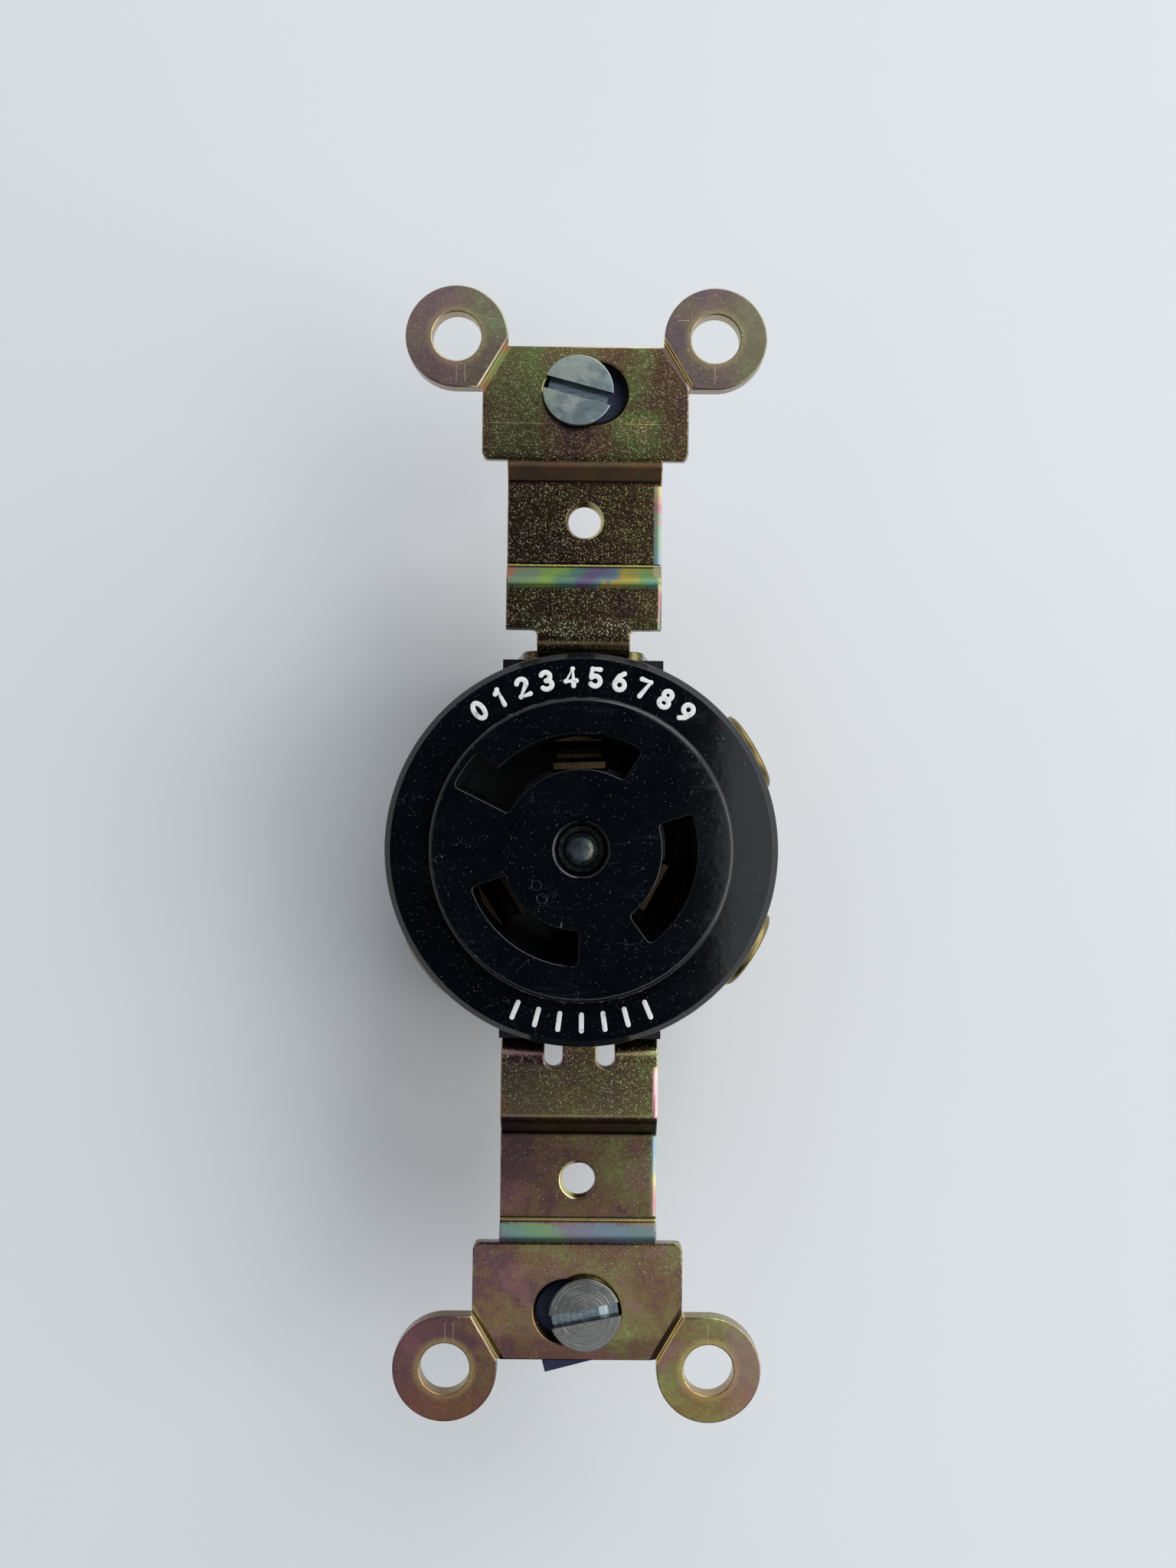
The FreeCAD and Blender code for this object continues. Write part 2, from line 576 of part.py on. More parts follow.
def leaf_section(side, foot_z):
    """Section of one leaf in the XZ plane: side 1 is the outer leaf, -1 the inner one."""
    throat = CONTACT_RADIUS + side * THROAT / 2
    flare = CONTACT_RADIUS + side * FLARE_GAP / 2
    knee_z = LEAF_TOP_Z - FLARE_HEIGHT
    grip = [(throat, foot_z), (throat, knee_z), (flare, LEAF_TOP_Z)]
    slope = atan2(abs(flare - throat), FLARE_HEIGHT)
    back_knee_z = knee_z - LEAF_THICKNESS * (1 - cos(slope)) / sin(slope)
    back_top = flare + side * LEAF_THICKNESS / cos(slope)
    back = [(back_top, LEAF_TOP_Z),
            (throat + side * LEAF_THICKNESS, back_knee_z),
            (throat + side * LEAF_THICKNESS, foot_z)]
    return [(x, 0, z) for x, z in grip + back]


def leaf(side, foot_z):
    """One leaf of a contact, in the pole's own frame with +X outwards."""
    solid = outline(leaf_section(side, foot_z)).extrude(Vector(0, LEAF_WIDTH, 0))
    solid.translate(Vector(0, -LEAF_WIDTH / 2, 0))
    return solid


def contact(contact_angle, terminal_angle):
    """Inner leaf with the floor and tail that carry it to the terminal plate."""
    inner_leaf = turned(leaf(-1, FLOOR_Z), contact_angle)
    piece = united([inner_leaf] + tail_plan(contact_angle, terminal_angle, FLOOR_Z, FLOOR_TOP_Z, 0))
    hole = post(CONTACT_RIVET_RADIUS + SNUG, -TOOL, TOOL, CONTACT_RIVET_AT)
    return piece.cut(turned(hole, terminal_angle))


def spring_leaf(contact_angle):
    """Outer leaf with the foot that it rocks on."""
    foot_z = FLOOR_TOP_Z + SEAT_GAP
    outer_leaf = leaf(1, foot_z)
    heel = CONTACT_RADIUS + THROAT / 2 + LEAF_THICKNESS
    foot = block((CONTACT_RADIUS - THROAT / 2 + FOOT_GAP, -LEAF_WIDTH / 2, foot_z),
                 (heel, LEAF_WIDTH / 2, foot_z + LEAF_THICKNESS))
    return turned(united([outer_leaf, foot]), contact_angle)


def terminal_plate(terminal_angle):
    """Brass plate tapped for the terminal screw, with a foot under the contact's tail."""
    outer = TERMINAL_RADIUS + TERMINAL_THICKNESS
    half = TERMINAL_WIDTH / 2
    plate = block((TERMINAL_RADIUS, -half, FOOT_BOTTOM_Z), (outer, half, -TERMINAL_TOP))
    half = LEAF_WIDTH / 2
    foot = block((TERMINAL_RADIUS - TERMINAL_FOOT_REACH, -half, FOOT_BOTTOM_Z), (outer, half, FLOOR_Z))
    piece = united([plate, foot])
    tapped = rod(TERMINAL_SCREW_RADIUS + RUNNING, 0, TOOL, -SCREW_DROP)
    hole = post(CONTACT_RIVET_RADIUS + SNUG, -TOOL, TOOL, CONTACT_RIVET_AT)
    return turned(piece.cut([tapped, hole]), terminal_angle)


def contact_rivet(terminal_angle):
    """Small rivet through a contact's tail and the terminal plate's foot."""
    x = CONTACT_RIVET_AT
    low = FOOT_BOTTOM_Z - CONTACT_RIVET_HEAD_HEIGHT
    high = FLOOR_TOP_Z + CONTACT_RIVET_HEAD_HEIGHT
    pieces = [
        post(CONTACT_RIVET_RADIUS, low, high, x),
        post(CONTACT_RIVET_HEAD, low, FOOT_BOTTOM_Z, x),
        post(CONTACT_RIVET_HEAD, FLOOR_TOP_Z, high, x),
    ]
    return turned(united(pieces), terminal_angle)


def pressure_plate(terminal_angle, backed_out):
    """Square clamp plate that travels with the terminal screw's head."""
    half = PRESSURE_SIZE / 2
    inner = PRESSURE_RADIUS + backed_out
    plate = block((inner, -half, -SCREW_DROP - half),
                  (inner + PRESSURE_THICKNESS, half, half - SCREW_DROP))
    hole = rod(TERMINAL_SCREW_RADIUS + RUNNING, 0, TOOL, -SCREW_DROP)
    return turned(plate.cut(hole), terminal_angle)


def terminal_screw(terminal_angle, backed_out):
    """Brass binding-head screw, its axis radial."""
    seat = HEAD_SEAT_RADIUS + backed_out
    rim_end = seat + TERMINAL_HEAD_RIM
    tip = seat - TERMINAL_SCREW_LENGTH
    crown = TERMINAL_HEAD_CROWN
    crown_radius = (TERMINAL_HEAD_RADIUS ** 2 + crown ** 2) / (2 * crown)
    ball = Part.makeSphere(crown_radius, Vector(rim_end + crown - crown_radius, 0, -SCREW_DROP))
    head = rod(TERMINAL_HEAD_RADIUS, seat, rim_end + crown, -SCREW_DROP).common(ball)
    shank = rod(TERMINAL_SCREW_RADIUS, tip, seat, -SCREW_DROP)
    ends = [e for e in shank.Edges if abs(e.BoundBox.XMax - tip) < 1e-6]
    shank = shank.makeChamfer(POINT_CHAMFER, ends)
    drive_low = rim_end + crown - DRIVE_DEPTH
    half = DRIVE_WIDTH / 2
    drive = block((drive_low, -TOOL, -SCREW_DROP - half), (TOOL, TOOL, half - SCREW_DROP))
    return turned(united([head, shank]).cut(drive), terminal_angle)


# ---- Mounting screws ---------------------------------------------------------------------------

def mounting_screw(end, x, drive_turn):
    """Slotted steel screw whose countersunk head lies in a mounting slot."""
    y = end * SLOT_Y
    top = MOUNTING_HEAD_PROUD
    seat = top - MOUNTING_HEAD_RIM
    cone_height = MOUNTING_HEAD_RADIUS - MOUNTING_NECK_RADIUS
    cone_low = seat - cone_height
    head = post(MOUNTING_HEAD_RADIUS, seat, top, x, y)
    rim = [e for e in head.Edges if abs(e.BoundBox.ZMin - top) < 1e-6]
    head = head.makeFillet(MOUNTING_HEAD_EDGE, rim)
    cone = Part.makeCone(MOUNTING_NECK_RADIUS, MOUNTING_HEAD_RADIUS, cone_height, Vector(x, y, cone_low))
    tip = top - MOUNTING_SCREW_LENGTH
    neck = post(MOUNTING_NECK_RADIUS, THREAD_TOP_Z, cone_low, x, y)
    thread = post(MOUNTING_SCREW_RADIUS, tip, THREAD_TOP_Z, x, y)
    point = [e for e in thread.Edges if abs(e.BoundBox.ZMax - tip) < 1e-6]
    thread = thread.makeChamfer(POINT_CHAMFER, point)
    half = DRIVE_WIDTH / 2
    drive = block((x - TOOL, y - half, top - MOUNTING_DRIVE_DEPTH), (x + TOOL, y + half, TOOL))
    return united([head, cone, neck, thread]).cut(turned(drive, drive_turn, Vector(x, y, 0)))


def screw_retainer(end, x, size, turn):
    """Square fibre washer that keeps a mounting screw in its slot."""
    y = end * SLOT_Y
    half = size / 2
    low = RETAINER_TOP_Z - RETAINER_THICKNESS
    plate = block((x - half, y - half, low), (x + half, y + half, RETAINER_TOP_Z))
    plate = plate.cut(post(MOUNTING_NECK_RADIUS + RUNNING, -TOOL, TOOL, x, y))
    return turned(plate, turn, Vector(x, y, 0))


# ---- Build -------------------------------------------------------------------------------------

def build():
    """Make every node and write its STEP file."""
    os.makedirs("parts", exist_ok=True)
    save("mounting_strap", mounting_strap())
    save("front_face", front_face())
    save("rear_body", rear_body())
    save("rear_cover", rear_cover())
    save("centre_rivet", centre_rivet())
    save("rivet_washer", rivet_washer())
    for pole, (contact_angle, terminal_angle) in POLES.items():
        save("contact_" + pole, contact(contact_angle, terminal_angle))
        save("spring_leaf_" + pole, spring_leaf(contact_angle))
        save("terminal_plate_" + pole, terminal_plate(terminal_angle))
        save("pressure_plate_" + pole, pressure_plate(terminal_angle, BACKED_OUT[pole]))
        save("terminal_screw_" + pole, terminal_screw(terminal_angle, BACKED_OUT[pole]))
    rivets = [contact_rivet(terminal_angle) for _, terminal_angle in POLES.values()]
    save("contact_rivets", Part.makeCompound(rivets))
    for name, (end, x, drive_turn, size, retainer_turn) in MOUNTING_SCREWS.items():
        save("mounting_screw_" + name, mounting_screw(end, x, drive_turn))
        save("screw_retainer_" + name, screw_retainer(end, x, size, retainer_turn))


build()
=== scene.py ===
import json
from math import asin, atan2, cos, degrees, hypot, pi, radians, sin, tan

import bmesh
import bpy
from bpy.props import FloatProperty, FloatVectorProperty, IntProperty, PointerProperty
from mathutils import Matrix, Vector


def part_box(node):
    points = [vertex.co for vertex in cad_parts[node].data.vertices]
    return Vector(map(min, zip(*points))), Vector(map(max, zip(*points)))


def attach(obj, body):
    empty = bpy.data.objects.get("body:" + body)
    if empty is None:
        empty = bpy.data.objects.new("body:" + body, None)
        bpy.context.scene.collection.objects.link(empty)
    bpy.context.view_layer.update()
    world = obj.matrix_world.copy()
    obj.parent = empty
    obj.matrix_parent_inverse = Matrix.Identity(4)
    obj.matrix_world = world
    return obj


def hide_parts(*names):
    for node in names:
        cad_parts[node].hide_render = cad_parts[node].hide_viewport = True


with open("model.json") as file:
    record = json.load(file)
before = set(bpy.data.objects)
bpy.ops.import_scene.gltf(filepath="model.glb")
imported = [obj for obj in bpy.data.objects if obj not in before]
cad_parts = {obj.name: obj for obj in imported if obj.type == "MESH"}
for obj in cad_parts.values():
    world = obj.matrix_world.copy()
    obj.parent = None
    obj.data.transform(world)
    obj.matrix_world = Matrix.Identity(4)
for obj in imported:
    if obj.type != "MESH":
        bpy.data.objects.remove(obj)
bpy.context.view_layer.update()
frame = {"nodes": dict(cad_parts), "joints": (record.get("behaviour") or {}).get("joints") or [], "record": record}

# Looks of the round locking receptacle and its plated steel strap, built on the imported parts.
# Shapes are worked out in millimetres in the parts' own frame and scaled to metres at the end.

bl_info = {
    "name": "Round Locking Receptacle",
    "version": (1, 0, 0),
    "blender": (4, 5, 0),
    "location": "View3D > Sidebar > Receptacle",
    "description": "Builds the strap, face, contacts, terminals and screws of a round locking receptacle",
    "category": "Object",
}

MM = 0.001
POLES = ("a", "b", "c")


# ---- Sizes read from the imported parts

def box(node):
    """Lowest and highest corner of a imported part, in millimetres."""
    return [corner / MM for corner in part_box(node)]


def mount(name):
    """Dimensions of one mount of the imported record."""
    return next(m["dims"] for m in frame["record"]["mounts"] if m["name"] == name)


def joint(name):
    """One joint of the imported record."""
    return next(j for j in frame["joints"] if j["name"] == name)


STRAP_LOW, STRAP_HIGH = box("mounting_strap")
FACE_LOW, FACE_HIGH = box("front_face")
COVER_LOW, COVER_HIGH = box("rear_cover")
EARS, COVER_HOLES = mount("ear_holes"), mount("cover_screw_holes")
EAR_X, EAR_Y = EARS["spacing_x_mm"] / 2, EARS["spacing_y_mm"] / 2
EAR_RADIUS = STRAP_HIGH.y - EAR_Y
COVER_HOLE_Y = COVER_HOLES["spacing_y_mm"] / 2
SLOT_Y = abs(joint("upper_screw_turn")["pos_m"][1]) / MM
THICKNESS = COVER_LOW.z - STRAP_LOW.z
LUG_Y = COVER_HIGH.y
SCREW_LEVEL = joint("terminal_screw_a_turn")["pos_m"][2] / MM
GROOVE_SHIFT = {1: 0.12, -1: -0.18}
GROOVE_FOOT, GROOVE_EDGE = 0.14, 0.53
WELD = 0.0005


# ---- Node trees

def maths(operation, swapped=False):
    """Method that adds a Math node on its socket and the other values."""
    def method(self, *others):
        values = (*others, self) if swapped else (self, *others)
        return self.tree.add("ShaderNodeMath", dict(enumerate(values)), operation=operation)
    return method


class Sock:
    """A node's output; arithmetic on it adds the Math nodes."""

    def __init__(self, tree, socket):
        self.tree, self.socket = tree, socket

    __add__, __radd__ = maths("ADD"), maths("ADD", True)
    __sub__, __rsub__ = maths("SUBTRACT"), maths("SUBTRACT", True)
    __mul__, __rmul__ = maths("MULTIPLY"), maths("MULTIPLY", True)
    __truediv__, __rtruediv__ = maths("DIVIDE"), maths("DIVIDE", True)
    __abs__, __gt__, __lt__ = maths("ABSOLUTE"), maths("GREATER_THAN"), maths("LESS_THAN")
    sine, cosine, fraction = maths("SINE"), maths("COSINE"), maths("FRACT")
    root, rounded, least, most = maths("SQRT"), maths("ROUND"), maths("MINIMUM"), maths("MAXIMUM")


class Tree:
    """A node tree that is filled through one method."""

    def __init__(self, tree):
        self.tree = tree

    def add(self, kind, sockets=None, out=0, **settings):
        """Adds a node: its settings first, then values or links for its sockets. Gives one output."""
        node = self.tree.nodes.new(kind)
        row, column = divmod(len(self.tree.nodes), 14)
        node.location = (column * 190, -row * 260)
        for key, value in settings.items():
            if key == "stops":
                self.fill_ramp(node.color_ramp, value)
            elif key == "items":
                while len(node.index_switch_items) < value:
                    node.index_switch_items.new()
            else:
                setattr(node, key, value)
        for key, value in (sockets or {}).items():
            target = self.find(node.inputs, key)
            if isinstance(value, Sock):
                self.tree.links.new(value.socket, target)
            elif target.type == "RGBA" and len(value) == 3:
                target.default_value = (*value, 1.0)
            else:
                target.default_value = value
        return Sock(self, self.find(node.outputs, out)) if node.outputs else node

    def span(self, value, low, high):
        """0 at low and below, 1 at high and beyond, eased between; either way round."""
        return self.add("ShaderNodeMapRange", {"Value": value, "From Min": low, "From Max": high},
                        interpolation_type="SMOOTHSTEP")

    def band(self, value, low, high, ease):
        """1 between two values, eased at both ends."""
        return self.span(value, low - ease, low + ease) * self.span(value, high + ease, high - ease)

    def bands(self, value, *places):
        """Sum of several bands, each given as (low, high, ease)."""
        return sum(self.band(value, *place) for place in places)

    def parts_of(self, vector):
        """X, Y and Z of a vector."""
        node = self.add("ShaderNodeSeparateXYZ", {0: vector}).socket.node
        return [Sock(self, s) for s in node.outputs]

    @staticmethod
    def find(sockets, key):
        if isinstance(key, int):
            return sockets[key]
        return next((s for s in sockets if s.identifier == key), None) or sockets[key]

    @staticmethod
    def fill_ramp(ramp, stops):
        while len(ramp.elements) < len(stops):
            ramp.elements.new(1.0)
        for element, (place, colour) in zip(ramp.elements, stops):
            element.position = place
            element.color = (*colour, 1.0)


class Finish(Tree):
    """Shader tree of one finish, with patterns set out in millimetres on the part."""

    def __init__(self, name):
        self.made = bpy.data.materials.new(name + "_finish")
        self.made.use_nodes = True
        super().__init__(self.made.node_tree)
        self.tree.nodes.clear()
        place = self.add("ShaderNodeTexCoord", out="Object")
        self.at = self.add("ShaderNodeVectorMath", {0: place, "Scale": 1 / MM}, operation="SCALE")
        self.x, self.y, self.z = self.parts_of(self.at)

    def noise(self, scale, detail=2.0, rough=0.5, shift=(0, 0, 0), stretch=(1, 1, 1), turn=0.0, bend=0.0):
        """Noise whose grains are about 1/scale millimetres across."""
        at = self.add("ShaderNodeMapping",
                      {"Vector": self.at, "Location": shift, "Rotation": (0, 0, turn), "Scale": stretch})
        return self.add("ShaderNodeTexNoise", {"Vector": at, "Scale": scale, "Detail": detail,
                                               "Roughness": rough, "Distortion": bend})

    def specks(self, scale, size, share, shift=(0, 0, 0)):
        """Mask of scattered round specks, share of the cells of 1/scale millimetres being filled."""
        at = self.add("ShaderNodeMapping", {"Vector": self.at, "Location": shift})
        cell = self.add("ShaderNodeTexVoronoi", {"Vector": at, "Scale": scale}, out="Distance")
        colour = Sock(self, self.find(cell.socket.node.outputs, "Color"))
        chance = self.add("ShaderNodeSeparateColor", {0: colour})
        return self.span(cell, size * scale, size * scale * 0.6) * (chance < share)

    def ramp(self, value, *stops):
        """Colours of stops given as (place, colour), eased between."""
        node = self.add("ShaderNodeValToRGB", {0: value}, stops=stops)
        node.socket.node.color_ramp.interpolation = "EASE"
        return node

    def mix(self, share, first, second, blend="MIX"):
        return self.add("ShaderNodeMix", {"Factor_Float": share, "A_Color": first, "B_Color": second},
                        "Result_Color", data_type="RGBA", blend_type=blend)

    def tinted(self, colour, *coats):
        """The colour under coats of (share, colour), the last one on top."""
        for share, tone in coats:
            colour = self.mix(share, colour, tone)
        return colour

    def surface(self, height=None, relief=0.01, strength=1.0, **sockets):
        """Principled shader with an optional bump of relief millimetres; closes the tree."""
        named = {key.replace("_", " "): value for key, value in sockets.items()}
        if height is not None:
            named["Normal"] = self.add("ShaderNodeBump", {"Strength": strength, "Distance": relief * MM,
                                                          "Height": height})
        self.add("ShaderNodeOutputMaterial", {"Surface": self.add("ShaderNodeBsdfPrincipled", named)})
        return self.made


def shade(colour, level):
    """A colour made darker or brighter."""
    return tuple(min(1.0, value * level) for value in colour)


class Shaper(Tree):
    """Geometry tree with named sizes as its inputs."""

    def __init__(self, name, **sizes):
        super().__init__(bpy.data.node_groups.new(name, "GeometryNodeTree"))
        socket = self.tree.interface.new_socket
        socket("Geometry", in_out="INPUT", socket_type="NodeSocketGeometry")
        for label, value in sizes.items():
            kind = "NodeSocketInt" if isinstance(value, int) else "NodeSocketFloat"
            socket(label.replace("_", " "), in_out="INPUT", socket_type=kind).default_value = value
        socket("Material", in_out="INPUT", socket_type="NodeSocketMaterial")
        socket("Geometry", in_out="OUTPUT", socket_type="NodeSocketGeometry")
        outputs = self.tree.nodes.new("NodeGroupInput").outputs
        self.entry, *self.sizes, self.material = [Sock(self, s) for s in outputs if s.name]

    def position(self):
        """X, Y and Z of each point."""
        return self.parts_of(self.add("GeometryNodeInputPosition"))

    def point(self, x, y, z):
        return self.add("ShaderNodeCombineXYZ", {"X": x, "Y": y, "Z": z})

    def moved(self, shape, x, y, z):
        return self.add("GeometryNodeSetPosition", {"Geometry": shape, "Position": self.point(x, y, z)})

    def ring(self, radius, steps):
        return self.add("GeometryNodeCurvePrimitiveCircle", {"Resolution": steps, "Radius": radius})

    def merged(self, shape):
        return self.add("GeometryNodeMergeByDistance", {"Geometry": shape, "Distance": WELD})

    def joined(self, *shapes):
        """Shapes as one; a joining node takes all its links in one socket."""
        node = self.tree.nodes.new("GeometryNodeJoinGeometry")
        for shape in shapes:
            self.tree.links.new(shape.socket, node.inputs[0])
        return Sock(self, node.outputs[0])

    def sheet(self, rows, segments, length=1.0):
        """Flat grid that is to be rolled up, and X and Y of its points."""
        grid = self.add("GeometryNodeMeshGrid", {"Size X": length, "Size Y": 1.0, "Vertices X": rows,
                                                 "Vertices Y": segments + 1})
        return grid, *self.position()[:2]

    def rolled(self, sheet, radius, turn, height):
        """A sheet rolled about Z; its Y makes one turn."""
        angle = (turn + 0.5) * (2 * pi)
        return self.moved(sheet, radius * angle.cosine(), radius * angle.sine(), height)

    def lathe(self, rows, segments):
        """Rows of (radius, height) turned about Z."""
        last = len(rows) - 1
        sheet, x, y = self.sheet(last + 1, segments, float(last))
        row = (x + last / 2).rounded()
        radius, height = [
            self.add("GeometryNodeIndexSwitch", {0: row, **{i + 1: value for i, value in enumerate(column)}},
                     data_type="FLOAT", items=last + 1)
            for column in zip(*rows)]
        return self.rolled(sheet, radius, y, height)

    def thread(self, radius, depth, pitch, top, length, segments):
        """Shank with a helical thread whose crests stand at the radius, closed at both ends."""
        sheet, x, y = self.sheet((length / pitch * 6).rounded() + 1, segments)
        along = x + 0.5
        down = along * length
        tooth = 1 - abs((down / pitch + y + 0.5).fraction() * 2 - 1) * 1.3
        ends = (down / pitch).least((length - down) / pitch).least(1.0)
        out = radius - depth + depth * tooth.most(0.0).least(0.85) / 0.85 * ends.most(0.0)
        out = out * (along > 0.0005) * (along < 0.9995)
        return self.rolled(sheet, out, y, top - down)

    def close(self, shape):
        """Ends the tree: real geometry, merged, with its material."""
        real = self.add("GeometryNodeRealizeInstances", {"Geometry": shape})
        done = self.add("GeometryNodeSetMaterial", {"Geometry": self.merged(real), "Material": self.material})
        self.add("NodeGroupOutput", {"Geometry": done})
        return self.tree


# ---- Mesh helpers

def linked(name, data):
    """New object in the scene."""
    made = bpy.data.objects.new(name, data)
    bpy.context.scene.collection.objects.link(made)
    return made


def baked(holder):
    """The plain mesh of an object with its modifiers applied; the object goes."""
    graph = bpy.context.evaluated_depsgraph_get()
    mesh = bpy.data.meshes.new_from_object(holder.evaluated_get(graph))
    bpy.data.objects.remove(holder)
    return mesh


def shaped(group, material, base=None, **sizes):
    """Runs a finished geometry tree with its sizes and gives the plain mesh."""
    values = {key.replace("_", " "): value for key, value in sizes.items()}
    values["Material"] = material
    holder = linked("workpiece", base or bpy.data.meshes.new("workpiece"))
    modifier = holder.modifiers.new("Shape", "NODES")
    modifier.node_group = group
    for item in group.interface.items_tree:
        if item.in_out == "INPUT" and item.name in values:
            modifier[item.identifier] = values[item.name]
    return baked(holder)


def worked(mesh, kind, **settings):
    """A mesh after one modifier."""
    holder = linked("workpiece", mesh)
    modifier = holder.modifiers.new(kind.title(), kind)
    for key, value in settings.items():
        setattr(modifier, key, value)
    return baked(holder)


def bevelled(mesh, width, steps, corner):
    """A mesh with its edges that are sharper than the corner angle eased."""
    return worked(mesh, "BEVEL", width=width, segments=steps, limit_method="ANGLE",
                  angle_limit=radians(corner), use_clamp_overlap=True, miter_outer="MITER_SHARP")


def as_mesh(shape, name, outwards=True):
    """The mesh of a finished bmesh, its faces turned outwards."""
    if outwards:
        bmesh.ops.recalc_face_normals(shape, faces=shape.faces)
    mesh = bpy.data.meshes.new(name)
    shape.to_mesh(mesh)
    shape.free()
    return mesh


def edit(mesh, change):
    """Runs change on the mesh's geometry."""
    shape = bmesh.new()
    shape.from_mesh(mesh)
    change(shape)
    shape.to_mesh(mesh)
    shape.free()
    mesh.update()
    return mesh


def sliced(shape, at, across):
    """New edges where a plane at a point crosses the shape."""
    everything = [*shape.verts, *shape.edges, *shape.faces]
    bmesh.ops.bisect_plane(shape, geom=everything, dist=1e-5, plane_co=at, plane_no=across)


def merged(mesh, gap=1e-4):
    """Doubles merged and faces turned outwards."""
    def change(shape):
        bmesh.ops.remove_doubles(shape, verts=shape.verts, dist=gap)
        bmesh.ops.dissolve_degenerate(shape, dist=gap, edges=shape.edges)
        bmesh.ops.recalc_face_normals(shape, faces=shape.faces)
    return edit(mesh, change)


def joined(meshes):
    """Several meshes as one."""
    shape = bmesh.new()
    for mesh in meshes:
        shape.from_mesh(mesh)
    whole = as_mesh(shape, "joined", False)
    for material in meshes[0].materials:
        whole.materials.append(material)
    return whole


def cut(mesh, tools):
    """The mesh with the tools taken out of it."""
    tool = linked("tool", joined(tools))
    done = worked(mesh, "BOOLEAN", operation="DIFFERENCE", solver="EXACT", object=tool, use_self=True)
    bpy.data.objects.remove(tool)
    return done


def plate(loops, thickness, rounding, steps=3):
    """Flat plate about Z 0 with rounded edges; the first loop is its outline, the others are its holes."""
    curve = bpy.data.curves.new("plate", "CURVE")
    curve.dimensions = "2D"
    curve.fill_mode = "BOTH"
    curve.extrude = thickness / 2 - rounding
    curve.bevel_depth = rounding
    curve.bevel_resolution = steps
    curve.offset = -rounding
    for loop in loops:
        spline = curve.splines.new("POLY")
        spline.points.add(len(loop) - 1)
        spline.points.foreach_set("co", [value for x, y in loop for value in (x, y, 0.0, 1.0)])
        spline.use_cyclic_u = True
    return merged(baked(linked("plate", curve)))


def oval(x, y, wide, tall, start, end, steps):
    """Points along an oval arc, angles in degrees."""
    turns = [radians(start + (end - start) * i / steps) for i in range(steps + 1)]
    return [(x + wide * cos(turn), y + tall * sin(turn)) for turn in turns]


def arc(x, y, radius, start, end, steps):
    return oval(x, y, radius, radius, start, end, steps)


def circle(x, y, radius, steps=48):
    return arc(x, y, radius, 0, 360, steps)[:-1]


def mirrored(points):
    """Points followed by their images on the other side of the middle plane."""
    return points + [(-x, y) for x, y in points[::-1]]


def place(name, mesh, metal, body, *stands_for, sharp=40.0, slot=None):
    """Makes the finished piece: whole flats, crisp edges, normals led by the flats, metres, on its body."""
    edit(mesh, lambda shape: bmesh.ops.dissolve_limit(shape, angle_limit=radians(0.4), verts=shape.verts,
                                                      edges=shape.edges))
    mesh.materials.clear()
    mesh.materials.append(finish(metal))
    for polygon in mesh.polygons:
        polygon.material_index = 0
        polygon.use_smooth = True
    mesh.set_sharp_from_angle(angle=radians(sharp))
    mesh = worked(mesh, "WEIGHTED_NORMAL", keep_sharp=True, weight=90)
    mesh.transform(Matrix.Scale(MM, 4))
    mesh.name = name
    piece = linked(name, mesh)
    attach(piece, body)
    slot or metal
    if stands_for:
        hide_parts(*stands_for)


def eased_piece(name, node, metal, body, ease):
    """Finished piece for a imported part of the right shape: merged, with its crisp edges eased."""
    mesh = frame["nodes"][node].data.copy()
    mesh.transform(Matrix.Scale(1 / MM, 4))

    def change(shape):
        bmesh.ops.remove_doubles(shape, verts=shape.verts, dist=2e-4)
        bmesh.ops.dissolve_limit(shape, angle_limit=radians(0.6), verts=shape.verts, edges=shape.edges)
    place(name, bevelled(edit(mesh, change), ease, 3, 35), metal, body, node)


# ---- Sizes and colours a user would change

def length(name, default, description):
    """Size that is given here in millimetres and kept in metres."""
    return FloatProperty(name=name, description=description, default=default * MM, min=0.0, precision=5,
                         unit="LENGTH")


def tint(name, default, description):
    """Linear colour."""
    return FloatVectorProperty(name=name, description=description, default=default, size=3, min=0, max=1,
                               subtype="COLOR")


class StrapSizes(bpy.types.PropertyGroup):
    half_width: length("Half width", 7.1, "Half the band's width")
    plate_half_width: length("End plate half width", 9.45, "Half the width of an end plate")
    neck_half_width: length("Neck half width", 4.25, "Half the neck's width")
    end_y: length("End", 45.94, "From the face axis to the strap's straight end edge")
    plate_y: length("End plate start", 35.55, "From the face axis to an end plate's inner edge")
    slot_length: length("Slot length", 7.9, "Length of a mounting slot")
    slot_width: length("Slot width", 5.75, "Width of a mounting slot")
    edge: length("Edge rounding", 0.13, "Radius that the press left along the edges")
    bend: length("Bend radius", 1.5, "Middle radius of the bends beside the housing")
    press: length("Pad bend radius", 0.9, "Middle radius of the bends beside the pads")
    groove_width: length("Groove width", 0.85, "Width of the score line between ear and plate")
    groove_depth: length("Groove depth", 0.24, "Depth of the score line between ear and plate")
    coin_width: length("Coined edge width", 0.74, "Width of the flattened edge beside a pad")
    coin_depth: length("Coined edge depth", 0.3, "Depth of the flattened edge beside a pad")


